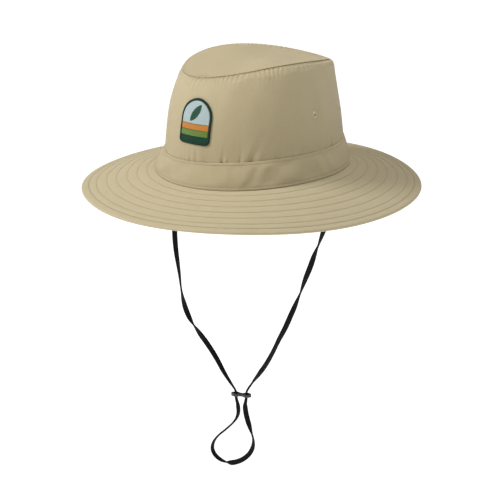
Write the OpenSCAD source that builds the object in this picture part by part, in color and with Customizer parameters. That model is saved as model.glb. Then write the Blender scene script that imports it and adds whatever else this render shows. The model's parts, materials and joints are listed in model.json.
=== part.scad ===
// Boonie hat: an oval crown with a stitched band, a three-ply brim that slopes down, a sewn patch,
// four thread eyelets, and a chin cord that hangs from the seam and runs through a slider.
// Millimetres. The front faces -Y, +X is the wearer's left and +Z is up. The origin is the centre of
// the head opening, at the height of the seam where the crown and the brim meet.

/* [Head opening] */
// Half the width of the headsize seam, side to side
seam_half_w = 86; // [76:0.5:104]
// Half the length of the headsize seam, front to back
seam_half_l = 103; // [90:0.5:124]

/* [Crown] */
// Height of the sewn band above the seam
band_h = 26; // [20:0.5:36]
// How far the band leans in by its top edge
band_inset = 7.5; // [0:0.5:10]
// Height of the rounded edge where the crown starts to turn in
edge_z = 90; // [70:1:110]
// Half the width of the crown at that edge
tip_half_w = 67; // [55:0.5:76]
// Half the length of the crown at that edge
tip_half_l = 80; // [64:0.5:90]
// How far the crown turns in above that edge
roll = 3.5; // [2:0.25:6]
// Height of the tip's seam above that edge
roll_h = 6.5; // [4:0.25:9]
// Rise of the crown tip from its seam to its middle
tip_rise = 4; // [1:0.5:12]
// How far the top of the crown sits behind the head opening's centre
crown_lean = 8; // [0:0.5:12]

/* [Brim] */
// Width of the brim at the sides
brim_w_side = 70.5; // [50:0.5:90]
// Width of the brim at the front and the back
brim_w_front = 68; // [50:0.5:90]
// How far the brim's edge hangs below the seam
brim_drop = 17; // [5:0.5:30]
// Rows of stitching round the brim, without the row at its edge
brim_rows = 6; // [3:1:6]
// Distance between two rows
row_pitch = 9.75; // [6:0.25:10]
// Distance from the brim's edge to its own row, and from that to the next
edge_row_inset = 7.25; // [3:0.25:8]

/* [Cloth] */
// Thickness of one ply of cloth
ply_t = 0.8; // [0.5:0.05:1.2]
// Thickness of the sweatband
sweatband_t = 1.2; // [0.6:0.1:2.5]
// Height of the sweatband above the seam
sweatband_h = 25; // [15:0.5:30]
// Thickness of the tape inside the tip's seam
tape_t = 0.5; // [0.3:0.05:1]
// Height of that tape
tape_h = 7; // [4:0.5:12]
// Width of a row of thread
thread_w = 0.8; // [0.4:0.05:1.2]
// Height of a row of thread
thread_h = 0.4; // [0.2:0.05:0.8]

/* [Eyelets] */
// Radius of the air hole in an eyelet
eyelet_bore_r = 1.5; // [1:0.1:2.5]
// Width of the thread that wraps the hole's edge
eyelet_barrel_w = 0.7; // [0.4:0.1:1.2]
// Outer radius of an eyelet
eyelet_rim_r = 3.3; // [3:0.1:5]
// Height of the eyelets above the middle of the crown's wall
eyelet_rise = 0; // [-10:0.5:10]
// Angle from the front to the first eyelet on each side
eyelet_front_angle = 79; // [60:1:85]
// Angle from the front to the second eyelet on each side
eyelet_rear_angle = 112; // [95:1:120]

/* [Patch] */
// Width of the patch
patch_w = 34; // [24:0.5:40]
// Height of the patch
patch_h = 39; // [34:0.5:50]
// Height of the patch's centre above the middle of the crown's wall
patch_rise = -1; // [-2:0.5:4]
// Distance of the patch's centre from the middle of the front, towards the wearer's left
patch_shift = -4; // [-8:0.5:8]
// Width of the patch's border
patch_border_w = 2; // [1:0.25:3]
// Thickness of the patch's twill base
patch_base_t = 1; // [0.6:0.1:1.5]
// Thickness of one layer of embroidery
patch_thread_t = 0.4; // [0.2:0.05:0.6]

/* [Chin cord] */
// Diameter of the chin cord, taken as round
cord_d = 3.6; // [2.4:0.1:4]
// Distance from the headsize seam out to the cord
cord_offset = 2; // [1:0.25:4]
// Distance between the slider's two holes
slider_pitch = 10.8; // [9:0.1:12]
// Length of the slider
slider_l = 21; // [19:0.5:24]
// Thickness of the slider
slider_t = 2.2; // [1.6:0.1:4]
// Wall round each hole of the slider
slider_wall = 1.2; // [0.8:0.1:2]
// Room round the cord in the slider's holes, on each side
slider_room = 0.3; // [0.2:0.05:0.5]

/* [Hidden] */

// Gap between two sewn layers
gap = 0.1;
// Gap between pieces that move past each other
run_gap = 0.3;
// Facets round the hat, and the angle of one of them
hat_facets = 72;
facet_angle = 360 / hat_facets;
$fn = 48;

// A ring is an oval level curve: [half width, half length, middle's y, height].
function mix(p, q, u) = p + (q - p) * u;
function grow(ring, d) = [ring[0] + d, ring[1] + d, ring[2], ring[3]];
function lift(ring, d) = [ring[0], ring[1], ring[2], ring[3] + d];
// Moves a ring by d along n, a direction given as [outwards, upwards].
function push(ring, n, d) = lift(grow(ring, n[0] * d), n[1] * d);
function on_ring(ring, t) = [ring[0] * sin(t), ring[2] - ring[1] * cos(t), ring[3]];

crown_h = edge_z + roll_h;
wall_middle_z = (band_h + edge_z) / 2;
function lean(z) = crown_lean * z / crown_h;

seam_ring = [seam_half_w, seam_half_l, 0, 0];
band_ring = [seam_half_w - band_inset, seam_half_l - band_inset, lean(band_h), band_h];
edge_ring = [tip_half_w, tip_half_l, lean(edge_z), edge_z];
tip_ring = [tip_half_w - roll, tip_half_l - roll, lean(edge_z), crown_h];
// The middle of the rounded edge, a third of the way in and three quarters of the way up
roll_ring = [tip_half_w - roll / 3, tip_half_l - roll / 3, lean(edge_z), edge_z + roll_h * 0.75];
function band_level(z) = mix(seam_ring, band_ring, z / band_h);
function crown_level(z) = mix(band_ring, edge_ring, (z - band_h) / (edge_z - band_h));
wall_foot_ring = crown_level(band_h + gap);

// The brim's top face runs straight from the band's inner face to the edge.
brim_stack = 3 * ply_t + 3 * gap;
brim_inner_ring = grow(seam_ring, -ply_t);
brim_edge_ring = [seam_half_w + brim_w_side, seam_half_l + brim_w_front, 0, -brim_drop];
function brim_level(inset) = mix(brim_edge_ring, brim_inner_ring, inset / (brim_w_side + ply_t));

sweatband_out = ply_t + gap;
sweatband_in = sweatband_out + sweatband_t;
thread_clear = 0.06;
tip_stations = 4;
outward = [1, 0];
upward = [0, 1];
slanted = [sin(45), cos(45)];

eyelet_z = wall_middle_z + eyelet_rise;
eyelet_barrel_r = eyelet_bore_r + eyelet_barrel_w;
// Room for the crown's facets between an eyelet's two rims
eyelet_room = 0.25;
eyelet_rim_t = 0.5;

patch_z = wall_middle_z + patch_rise;
patch_angle = 25;
patch_inner_w = patch_w - 2 * patch_border_w - 2 * gap;
patch_inner_h = patch_h - 2 * patch_border_w - 2 * gap;
patch_corner_r = 4;
patch_band_h = 5;
patch_layer = patch_base_t + gap;
patch_leaf_layer = patch_layer + patch_thread_t + gap;
// The field starts a little below the patch's middle, and the two bands lie under it.
patch_field_z = -2;
leaf_r = 13;
leaf_shift = 9.5;
leaf_turn = -35;
leaf_z = 7;

cord_r = cord_d / 2;
cord_sides = 8;
cord_x = seam_half_w + cord_offset;
// The cord turns about this height, under the tabs that hold it.
pivot_z = -11;
tab_w = 5.4;
tab_t = 1.8;
tab_top = brim_level(brim_w_side - cord_offset - tab_t)[3] - brim_stack - gap;
tab_bottom = pivot_z + cord_r + run_gap;
bartack_h = 1.6;
bartack_t = 0.5;

slider_turn = 19;
slider_at = [-14.7, 0, -246];
slider_hole_r = cord_r + slider_room;
slider_eye_r = slider_hole_r + slider_wall;
slider_end_r = 2.2;

// Routes of the chin cord, from the tabs to the slider and round the loop under it
left_route = [
    [-88, 0, -9.4], [-88, 0, -11], [-89, 0, -24], [-91, 0, -40], [-93, 0, -56], [-94.5, 0, -72],
    [-95, 0, -88], [-94, 0, -104], [-92, 0, -118], [-90, 0, -131], [-88.5, 0, -144], [-86, 0, -157],
    [-82, 0, -169], [-75.5, 0, -180], [-66, 0, -190], [-55, 0, -201], [-45, 0, -213], [-36, 0, -226],
    [-28, -0.5, -235], [-21.5, -1.5, -241], [-19.8, -1.8, -244], [-19.8, -1.8, -246]
];
right_route = [
    [88, 0, -9.4], [88, 0, -11], [86, 0, -24], [82.5, 0, -39], [78, 0, -54], [73.5, 0, -67],
    [68.5, 0, -80], [64, 0, -93], [59, 0, -106], [54.5, 0, -119], [49, 0, -133], [43, 0, -147],
    [37, 0, -161], [30, 0, -175], [23, 0, -190], [15, 0, -205], [6, 0, -219], [-1, 0.3, -229],
    [-7, 1, -238], [-9.6, 1.8, -243], [-9.6, 1.8, -246]
];
loop_route = [
    [-19.8, -1.8, -246], [-19.6, -1.8, -250], [-18, -1.3, -258], [-17.6, -1, -266], [-19.5, -1.6, -273],
    [-24, -3.2, -280], [-31, -5.6, -288], [-38.5, -8.2, -296], [-43, -9.8, -304], [-44, -10, -312],
    [-40.5, -9, -319], [-33.5, -6.5, -324], [-25, -3.5, -325], [-15.5, -0.3, -321], [-8, 2.3, -314],
    [-3.8, 3.8, -306], [-2.5, 4.2, -298], [-3.8, 3.8, -290], [-6, 3, -282], [-8.3, 2.2, -274],
    [-10, 1.6, -266], [-10.8, 1.4, -258], [-9.8, 1.7, -250], [-9.6, 1.8, -246]
];

// Closes rings into a hoop. They run up its outside and down its inside. Each facet is split from a
// corner on its wider ring, so that two plies that lie on each other are split alike.
module hoop(rings) {
    count = len(rings);
    points = [for (ring = rings) for (i = [0 : hat_facets - 1]) on_ring(ring, i * facet_angle)];
    faces = [
        for (k = [0 : count - 1])
            for (i = [0 : hat_facets - 1])
                let (a = k * hat_facets, b = (k + 1) % count * hat_facets, j = (i + 1) % hat_facets)
                    each rings[k][0] > rings[(k + 1) % count][0]
                        ? [[a + i, b + i, b + j], [a + i, b + j, a + j]]
                        : [[a + i, b + i, a + j], [b + i, b + j, a + j]]
    ];
    polyhedron(points, faces);
}

// Closes rings into a lens. They run out along its underside and back in along its top.
module lens(low_pole, rings, high_pole) {
    count = len(rings);
    low = count * hat_facets;
    points = [
        for (ring = rings) for (i = [0 : hat_facets - 1]) on_ring(ring, i * facet_angle),
        low_pole,
        high_pole
    ];
    faces = [
        for (i = [0 : hat_facets - 1])
            let (j = (i + 1) % hat_facets, top = low - hat_facets)
                each [[low, i, j], [low + 1, top + j, top + i]],
        for (k = [0 : count - 2])
            for (i = [0 : hat_facets - 1])
                let (a = k * hat_facets, b = a + hat_facets, j = (i + 1) % hat_facets)
                    each [[a + i, b + i, b + j], [a + i, b + j, a + j]]
    ];
    polyhedron(points, faces);
}

// A row of thread on the face that rises from ring low to ring high, at the share u of the way.
module thread_row(low, high, u) {
    run = [high[0] - low[0], high[3] - low[3]];
    n = [run[1], -run[0]] / norm(run);
    du = thread_w / 2 / norm(run);
    hoop([
        push(mix(low, high, u - du), n, thread_clear),
        push(mix(low, high, u), n, thread_clear + thread_h),
        push(mix(low, high, u + du), n, thread_clear)
    ]);
}

function unit(v) = v / norm(v);
function route_way(p, i) = unit(p[min(i + 1, len(p) - 1)] - p[max(i - 1, 0)]);

// A round tube along route p. radii gives the radius at each point.
module tube(p, radii) {
    count = len(p);
    points = [
        for (i = [0 : count - 1])
            let (
                level = i == 0 || i == count - 1,
                chord = route_way(p, i),
                way = level && abs(chord[2]) > 0.8 ? [0, 0, sign(chord[2])] : chord,
                side = unit(cross(way, [0, 1, 0])),
                front = cross(side, way)
            )
                for (s = [0 : cord_sides - 1])
                    p[i] + radii[i] * (cos(360 * s / cord_sides) * side + sin(360 * s / cord_sides) * front)
    ];
    faces = [
        [for (s = [0 : cord_sides - 1]) cord_sides - 1 - s],
        [for (s = [0 : cord_sides - 1]) (count - 1) * cord_sides + s],
        for (i = [0 : count - 2])
            for (s = [0 : cord_sides - 1])
                let (a = i * cord_sides, b = a + cord_sides, n = (s + 1) % cord_sides)
                    each [[a + s, a + n, b + n], [a + s, b + n, b + s]]
    ];
    polyhedron(points, faces);
}

// A cord's rounded upper end is narrower than the cord itself.
function cord_radii(p) = [for (i = [0 : len(p) - 1]) i == 0 ? cord_r * 0.55 : cord_r];

module crown_tip() {
    edge = grow(tip_ring, -gap);
    // The share of the way out, and the height of the domed cloth there
    function station(k) = [
        edge[0] * k / tip_stations, edge[1] * k / tip_stations, edge[2],
        crown_h + tip_rise * (1 - pow(k / tip_stations, 2))
    ];
    middle = [0, edge[2], crown_h + tip_rise];
    color([0.74, 0.68, 0.54])
        lens(
            middle - [0, 0, ply_t],
            [
                for (k = [1 : tip_stations]) lift(station(k), -ply_t),
                for (k = [tip_stations : -1 : 1]) station(k)
            ],
            middle
        );
}

// Places its children on the crown's wall at angle t, with +Z pointing out of the wall.
module on_crown(t, z) {
    ring = crown_level(z);
    heading = atan2(-cos(t) / ring[1], sin(t) / ring[0]);
    fall = on_ring(band_ring, t) - on_ring(edge_ring, t);
    slope = atan2(fall[0] * cos(heading) + fall[1] * sin(heading), edge_z - band_h);
    translate(on_ring(ring, t))
        rotate([0, 90 - slope, heading])
            children();
}

eyelet_angles = [eyelet_front_angle, eyelet_rear_angle, -eyelet_front_angle, -eyelet_rear_angle];

module crown_side() {
    color([0.72, 0.66, 0.52])
        difference() {
            hoop([
                wall_foot_ring,
                edge_ring,
                roll_ring,
                tip_ring,
                push(tip_ring, upward, -ply_t),
                push(roll_ring, slanted, -ply_t),
                push(edge_ring, outward, -ply_t),
                push(wall_foot_ring, outward, -ply_t)
            ]);
            for (t = eyelet_angles)
                on_crown(t, eyelet_z)
                    cylinder(r = eyelet_barrel_r + gap, h = 8 * ply_t, center = true);
        }
}

module crown_band() {
    color([0.75, 0.69, 0.55])
        hoop([seam_ring, band_ring, grow(band_ring, -ply_t), grow(seam_ring, -ply_t)]);
}

// The depth of ply k's upper face under the brim's top line
function ply_depth(k) = gap + k * (ply_t + gap);

module brim_ply(k) {
    top = -ply_depth(k);
    edge = brim_level(ply_t + gap);
    hoop([
        lift(edge, top - ply_t),
        lift(edge, top),
        lift(brim_inner_ring, top),
        lift(brim_inner_ring, top - ply_t)
    ]);
}

module brim_top() {
    top = -ply_depth(0);
    turned = brim_level(ply_t);
    color([0.76, 0.70, 0.56])
        hoop([
            lift(brim_edge_ring, -brim_stack),
            lift(brim_edge_ring, top),
            lift(brim_inner_ring, top),
            lift(brim_inner_ring, top - ply_t),
            lift(turned, top - ply_t),
            lift(turned, -brim_stack)
        ]);
}

module brim_interlining() {
    color([0.93, 0.92, 0.88])
        brim_ply(1);
}

module brim_under() {
    color([0.70, 0.64, 0.50])
        brim_ply(2);
}

module sweatband() {
    foot = lift(seam_ring, -brim_stack);
    head = band_level(sweatband_h);
    color([0.66, 0.61, 0.48])
        hoop([
            grow(foot, -sweatband_out),
            grow(seam_ring, -sweatband_out),
            grow(head, -sweatband_out),
            grow(head, -sweatband_in),
            grow(seam_ring, -sweatband_in),
            grow(foot, -sweatband_in)
        ]);
}

module tip_seam_tape() {
    low = grow(crown_level(edge_z - tape_h), -ply_t - gap);
    high = grow(edge_ring, -ply_t - gap);
    color([0.68, 0.62, 0.49])
        hoop([low, high, grow(high, -tape_t), grow(low, -tape_t)]);
}

module tip_topstitch() {
    color([0.80, 0.75, 0.62])
        thread_row(roll_ring, tip_ring, 0.5);
}

module back_seam_stitch() {
    reach = thread_h + gap;
    ends = [band_h + thread_w * 2, edge_z - thread_w];
    color([0.80, 0.75, 0.62])
        tube([for (z = ends) on_ring(grow(crown_level(z), reach), 180)], [thread_h, thread_h]);
}

module band_top_stitch() {
    color([0.80, 0.75, 0.62])
        thread_row(seam_ring, band_ring, 1 - 2 * thread_w / band_h);
}

module band_bottom_stitch() {
    color([0.80, 0.75, 0.62])
        thread_row(seam_ring, band_ring, 2 * thread_w / band_h);
}

// A row of thread on the brim's top, at this distance in from its edge
module brim_row(inset) {
    top = -ply_depth(0);
    thread_row(lift(brim_edge_ring, top), lift(brim_inner_ring, top), inset / (brim_w_side + ply_t));
}

module brim_stitching() {
    color([0.80, 0.75, 0.62])
        for (k = [0 : brim_rows - 1])
            brim_row(2 * edge_row_inset + k * row_pitch);
}

module brim_edge_stitch() {
    color([0.62, 0.56, 0.43])
        brim_row(edge_row_inset);
}

module sweatband_stitch() {
    high = grow(band_level(sweatband_h), -sweatband_in);
    low = grow(seam_ring, -sweatband_in);
    color([0.80, 0.75, 0.62])
        thread_row(high, low, 1 - 3 * thread_w / sweatband_h);
}

// Thread wrapped round the edge of an air hole, with a rim on each face of the cloth
module eyelet(t) {
    inner = -ply_t - eyelet_room;
    outer = eyelet_room;
    color([0.70, 0.64, 0.50])
        on_crown(t, eyelet_z)
            rotate_extrude()
                polygon([
                    [eyelet_bore_r, inner - eyelet_rim_t],
                    [eyelet_rim_r, inner - eyelet_rim_t],
                    [eyelet_rim_r, inner],
                    [eyelet_barrel_r, inner],
                    [eyelet_barrel_r, outer],
                    [eyelet_rim_r, outer],
                    [eyelet_rim_r, outer + eyelet_rim_t],
                    [eyelet_bore_r, outer + eyelet_rim_t]
                ]);
}

module eyelet_left_front() eyelet(eyelet_front_angle);
module eyelet_left_rear() eyelet(eyelet_rear_angle);
module eyelet_right_front() eyelet(-eyelet_front_angle);
module eyelet_right_rear() eyelet(-eyelet_rear_angle);

// A curved layer over the front of the crown's wall, from the depth near to the depth far off its
// cloth. Its facets are split as the wall's are.
module crown_layer(near, far) {
    low = wall_foot_ring;
    high = edge_ring;
    corners = [grow(low, far), grow(high, far), grow(high, near), grow(low, near)];
    steps = 2 * patch_angle / facet_angle;
    points = [
        for (i = [0 : steps]) for (ring = corners) on_ring(ring, i * facet_angle - patch_angle)
    ];
    last = 4 * steps;
    faces = [
        [0, 3, 2], [0, 2, 1],
        [last, last + 1, last + 2], [last, last + 2, last + 3],
        for (i = [0 : steps - 1])
            let (a = 4 * i, b = a + 4)
                each [
                    [a, a + 1, b + 1], [a, b + 1, b],
                    [a + 1, a + 2, b + 2], [a + 1, b + 2, b + 1],
                    [a + 2, a + 3, b + 2], [a + 3, b + 3, b + 2],
                    [a + 3, a, b], [a + 3, b, b + 3]
                ]
    ];
    polyhedron(points, faces);
}

// Cuts the flat outline of its children out of a curved layer on the crown's front.
module sewn_on(near, far) {
    intersection() {
        crown_layer(near, far);
        translate([patch_shift, 0, patch_z])
            rotate([90, 0, 0])
                linear_extrude(height = 2 * seam_half_l)
                    children();
    }
}

// An upright shape with a round top and small round corners below, centred on its box
module arch(w, h, corner) {
    translate([0, h / 2 - w / 2])
        circle(r = w / 2);
    translate([-w / 2, corner - h / 2])
        square([w, h - w / 2 - corner]);
    translate([corner - w / 2, -h / 2])
        square([w - 2 * corner, corner]);
    for (side = [-1, 1])
        translate([side * (w / 2 - corner), corner - h / 2])
            circle(r = corner);
}

module patch_base() {
    color([0.07, 0.25, 0.16])
        sewn_on(gap, patch_base_t)
            arch(patch_inner_w, patch_inner_h, patch_corner_r - patch_border_w);
}

module patch_border() {
    inner_corner_r = patch_corner_r - patch_border_w;
    color([0.05, 0.20, 0.12])
        sewn_on(gap, patch_base_t + patch_thread_t)
            difference() {
                arch(patch_w, patch_h, patch_corner_r);
                arch(patch_w - 2 * patch_border_w, patch_h - 2 * patch_border_w, inner_corner_r);
            }
}

// The part of the patch's face between two heights
module patch_zone(low, high) {
    intersection() {
        arch(patch_inner_w - 2 * gap, patch_inner_h - 2 * gap, patch_corner_r - patch_border_w);
        translate([-patch_w / 2, low])
            square([patch_w, high - low]);
    }
}

module patch_pale_field() {
    color([0.78, 0.85, 0.84])
        sewn_on(patch_layer, patch_layer + patch_thread_t)
            patch_zone(patch_field_z, patch_h / 2);
}

module patch_orange_band() {
    color([0.85, 0.52, 0.20])
        sewn_on(patch_layer, patch_layer + patch_thread_t)
            patch_zone(patch_field_z - gap - patch_band_h, patch_field_z - gap);
}

module patch_green_band() {
    top = patch_field_z - patch_band_h - 2 * gap;
    color([0.42, 0.58, 0.24])
        sewn_on(patch_layer, patch_layer + patch_thread_t)
            patch_zone(top - patch_band_h, top);
}

module patch_leaf() {
    color([0.20, 0.42, 0.24])
        sewn_on(patch_leaf_layer, patch_leaf_layer + patch_thread_t)
            translate([0, leaf_z])
                rotate(leaf_turn)
                    intersection() {
                        translate([leaf_shift, 0])
                            circle(r = leaf_r);
                        translate([-leaf_shift, 0])
                            circle(r = leaf_r);
                    }
}

// The end of the cord that is sewn into the seam, on the side given by 1 or -1
module cord_tab(side) {
    color([0.06, 0.06, 0.07])
        translate([side * cord_x - tab_t / 2, -tab_w / 2, tab_bottom])
            cube([tab_t, tab_w, tab_top - tab_bottom]);
}

module cord_tab_left() cord_tab(1);
module cord_tab_right() cord_tab(-1);

// The tack of thread across that end
module bartack(side) {
    face = side * (cord_x - tab_t / 2 - gap - bartack_t / 2);
    color([0.12, 0.12, 0.13])
        translate([face - bartack_t / 2, -tab_w / 2, tab_top - bartack_h])
            cube([bartack_t, tab_w, bartack_h]);
}

module bartack_left() bartack(1);
module bartack_right() bartack(-1);

module chin_cord_left() {
    color([0.06, 0.06, 0.07])
        tube(right_route, cord_radii(right_route));
}

module chin_cord_right() {
    color([0.06, 0.06, 0.07])
        tube(left_route, cord_radii(left_route));
}

module chin_cord_loop() {
    color([0.06, 0.06, 0.07])
        tube(loop_route, [for (p = loop_route) cord_r]);
}

module cord_slider() {
    color([0.10, 0.10, 0.11])
        translate(slider_at)
            rotate(slider_turn)
                difference() {
                    union() {
                        for (side = [-1, 1]) {
                            translate([side * slider_pitch / 2, 0, 0])
                                cylinder(r = slider_eye_r, h = slider_t, center = true);
                            translate([side * (slider_l / 2 - slider_end_r), 0, 0])
                                cylinder(r = slider_end_r, h = slider_t, center = true);
                        }
                        cube([slider_l - 2 * slider_end_r, 2 * slider_end_r, slider_t], center = true);
                    }
                    for (side = [-1, 1])
                        translate([side * slider_pitch / 2, 0, 0])
                            cylinder(r = slider_hole_r, h = 2 * slider_t, center = true);
                }
}

crown_tip();
crown_side();
crown_band();
brim_top();
brim_interlining();
brim_under();
sweatband();
tip_seam_tape();
tip_topstitch();
back_seam_stitch();
band_top_stitch();
band_bottom_stitch();
brim_stitching();
brim_edge_stitch();
sweatband_stitch();
eyelet_left_front();
eyelet_left_rear();
eyelet_right_front();
eyelet_right_rear();
patch_base();
patch_border();
patch_pale_field();
patch_orange_band();
patch_green_band();
patch_leaf();
cord_tab_left();
cord_tab_right();
bartack_left();
bartack_right();
chin_cord_left();
chin_cord_right();
chin_cord_loop();
cord_slider();
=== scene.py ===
"""The looks of the boonie hat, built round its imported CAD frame.

Metres. The front of the hat faces -Y, +X is the wearer's left and +Z is up. Round the hat, phi is the angle
from the front towards the wearer's left.
"""

import json
import math

import bpy
import numpy as np
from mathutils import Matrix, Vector

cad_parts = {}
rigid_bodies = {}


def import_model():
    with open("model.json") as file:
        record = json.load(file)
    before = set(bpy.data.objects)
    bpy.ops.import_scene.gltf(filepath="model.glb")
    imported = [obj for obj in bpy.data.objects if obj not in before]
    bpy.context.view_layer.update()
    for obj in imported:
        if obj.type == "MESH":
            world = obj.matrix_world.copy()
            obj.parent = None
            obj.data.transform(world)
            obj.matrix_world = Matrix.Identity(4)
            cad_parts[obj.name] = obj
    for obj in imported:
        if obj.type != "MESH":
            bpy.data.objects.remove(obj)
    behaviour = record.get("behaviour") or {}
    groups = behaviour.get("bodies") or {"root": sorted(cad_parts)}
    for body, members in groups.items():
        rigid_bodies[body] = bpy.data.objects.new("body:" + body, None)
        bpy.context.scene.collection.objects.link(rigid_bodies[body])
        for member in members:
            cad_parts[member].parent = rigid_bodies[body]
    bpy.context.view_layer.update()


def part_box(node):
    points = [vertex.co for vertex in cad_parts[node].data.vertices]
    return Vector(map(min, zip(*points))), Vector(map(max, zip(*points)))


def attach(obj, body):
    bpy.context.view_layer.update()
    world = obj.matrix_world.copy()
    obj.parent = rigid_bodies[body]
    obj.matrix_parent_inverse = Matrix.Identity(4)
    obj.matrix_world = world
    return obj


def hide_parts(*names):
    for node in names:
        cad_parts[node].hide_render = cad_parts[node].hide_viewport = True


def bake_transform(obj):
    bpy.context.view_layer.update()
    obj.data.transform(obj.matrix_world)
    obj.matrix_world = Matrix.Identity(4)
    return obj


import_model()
MM = 0.001
TURN = 2 * math.pi


# ---------------------------------------------------------------- camera, stage and light

VIEW_ANGLE = math.radians(33.3)
CAMERA_REACH = 1.2
CAMERA_HEIGHT = 0.330
AIM_HEIGHT = -87.6 * MM
AIM_SHIFT = -3.35 * MM
FLOOR_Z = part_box("chin_cord_loop")[0].z - 8 * MM


def towards(angle, reach, height):
    """A point at this angle from the front, this far out and this high."""
    return Vector((reach * math.sin(angle), -reach * math.cos(angle), height))


def look(obj, place, target):
    obj.location = place
    obj.rotation_euler = (Vector(target) - Vector(place)).to_track_quat("-Z", "Y").to_euler()
    bpy.context.scene.collection.objects.link(obj)
    return obj


def make_camera():
    data = bpy.data.cameras.new("camera")
    data.sensor_width = 36
    data.lens = 94.27
    data.clip_end = 100
    right = Vector((math.cos(VIEW_ANGLE), math.sin(VIEW_ANGLE), 0))
    aim = AIM_SHIFT * right + Vector((0, 0, AIM_HEIGHT))
    camera = bpy.data.objects.new("camera", data)
    look(camera, towards(VIEW_ANGLE, CAMERA_REACH, CAMERA_HEIGHT), aim)
    bpy.context.scene.camera = camera


def make_light(name, angle, reach, height, size, power):
    data = bpy.data.lights.new(name, "AREA")
    data.size = size
    data.energy = power
    look(bpy.data.objects.new(name, data), towards(angle, reach, height), (0, 0, 0.03))


def make_world():
    world = bpy.data.worlds.new("studio")
    world.use_nodes = True
    nodes = world.node_tree.nodes
    links = world.node_tree.links
    soft = nodes["Background"]
    soft.inputs["Color"].default_value = (1.0, 0.975, 0.94, 1)
    soft.inputs["Strength"].default_value = 0.22
    seen = nodes.new("ShaderNodeBackground")
    seen.inputs["Strength"].default_value = 1.0
    path = nodes.new("ShaderNodeLightPath")
    mix = nodes.new("ShaderNodeMixShader")
    links.new(path.outputs["Is Camera Ray"], mix.inputs[0])
    links.new(soft.outputs[0], mix.inputs[1])
    links.new(seen.outputs[0], mix.inputs[2])
    links.new(mix.outputs[0], nodes["World Output"].inputs["Surface"])
    bpy.context.scene.world = world


def make_floor():
    half = 30.0
    points = [(-half, -half, FLOOR_Z), (half, -half, FLOOR_Z), (half, half, FLOOR_Z), (-half, half, FLOOR_Z)]
    mesh = bpy.data.meshes.new("floor")
    mesh.from_pydata(points, [], [(0, 1, 2, 3)])
    floor = bpy.data.objects.new("floor", mesh)
    bpy.context.scene.collection.objects.link(floor)
    material = bpy.data.materials.new("floor_paper")
    material.use_nodes = True
    tree = material.node_tree
    paper = tree.nodes["Principled BSDF"]
    paper.inputs["Base Color"].default_value = (0.38, 0.38, 0.38, 1)
    paper.inputs["Roughness"].default_value = 0.9
    paper.inputs["Emission Color"].default_value = (1, 1, 1, 1)
    paper.inputs["Emission Strength"].default_value = 0.94
    clear = tree.nodes.new("ShaderNodeBsdfTransparent")
    side = tree.nodes.new("ShaderNodeNewGeometry")
    mix = tree.nodes.new("ShaderNodeMixShader")
    tree.links.new(side.outputs["Backfacing"], mix.inputs[0])
    tree.links.new(paper.outputs[0], mix.inputs[1])
    tree.links.new(clear.outputs[0], mix.inputs[2])
    tree.links.new(mix.outputs[0], tree.nodes["Material Output"].inputs["Surface"])
    mesh.materials.append(material)


make_camera()
make_world()
make_floor()
make_light("key", math.radians(-42), 1.6, 1.45, 0.7, 32)
make_light("fill", math.radians(60), 1.9, 0.9, 2.0, 1.5)
make_light("top", math.radians(120), 0.35, 2.1, 1.2, 20)
bpy.context.scene.view_settings.view_transform = "Standard"


# ---------------------------------------------------------------- meshes


def add_piece(name, points, face_sets, material, body=None, replaces=(), coords=None, groove_and_painted_shade=None,
              period=None):
    """Makes a smooth mesh object from a point array and arrays of faces, and hides the parts it replaces. Where the
    first of its cloth coordinates runs round the hat, period is the length after which it starts again."""
    mesh = bpy.data.meshes.new(name)
    points = np.asarray(points, np.float32).reshape(-1, 3)
    corners = np.concatenate([faces.ravel() for faces in face_sets])
    counts = np.concatenate([np.full(len(faces), faces.shape[1]) for faces in face_sets])
    mesh.vertices.add(len(points))
    mesh.vertices.foreach_set("co", points.ravel())
    mesh.loops.add(len(corners))
    mesh.loops.foreach_set("vertex_index", corners.astype(np.int32))
    mesh.polygons.add(len(counts))
    mesh.polygons.foreach_set("loop_start", (np.cumsum(counts) - counts).astype(np.int32))
    mesh.update(calc_edges=True)
    mesh.polygons.foreach_set("use_smooth", np.ones(len(counts), bool))
    if coords is not None:
        at_corners = np.array(coords, np.float32).reshape(-1, 3)[corners]
        if period:
            furthest = np.maximum.reduceat(at_corners[:, 0], np.cumsum(counts) - counts).repeat(counts)
            at_corners[furthest - at_corners[:, 0] > period / 2, 0] += period
        cloth = mesh.attributes.new("cloth", "FLOAT_VECTOR", "CORNER")
        cloth.data.foreach_set("vector", at_corners.ravel())
    # This point attribute darkens the colour of the cloth and the thread: painted shade in seams, stitch rows and
    # between threads.
    if groove_and_painted_shade is not None:
        depth = mesh.attributes.new("groove_and_painted_shade", "FLOAT", "POINT")
        depth.data.foreach_set("value", np.asarray(groove_and_painted_shade, np.float32).ravel())
    mesh.materials.append(material)
    piece = bpy.data.objects.new(name, mesh)
    bpy.context.scene.collection.objects.link(piece)
    if body:
        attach(piece, body)
    if replaces:
        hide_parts(*replaces)
    return piece


def grid_faces(rows, columns, wrap_rows=False, wrap_columns=True, first=0):
    """The quads of a grid of points, rows by columns, counted row by row."""
    row = np.arange(rows if wrap_rows else rows - 1)[:, None]
    column = np.arange(columns if wrap_columns else columns - 1)[None, :]
    next_row = (row + 1) % rows
    next_column = (column + 1) % columns
    quads = [row * columns + column, row * columns + next_column]
    quads += [next_row * columns + next_column, next_row * columns + column]
    return first + np.stack(quads, -1).reshape(-1, 4)


def fan_faces(columns, ring_first, pole, flip=False):
    """Triangles from a ring of points to one pole."""
    here = ring_first + np.arange(columns)
    there = ring_first + (np.arange(columns) + 1) % columns
    pair = [there, here] if flip else [here, there]
    return np.stack([*pair, np.full(columns, pole)], -1)


def unit(v):
    return v / np.maximum(np.linalg.norm(v, axis=-1, keepdims=True), 1e-12)


def bell(x, width):
    return np.exp(-((x / width) ** 2))


def ease(low, high, x):
    t = np.clip((x - low) / (high - low), 0, 1)
    return t * t * (3 - 2 * t)


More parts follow.
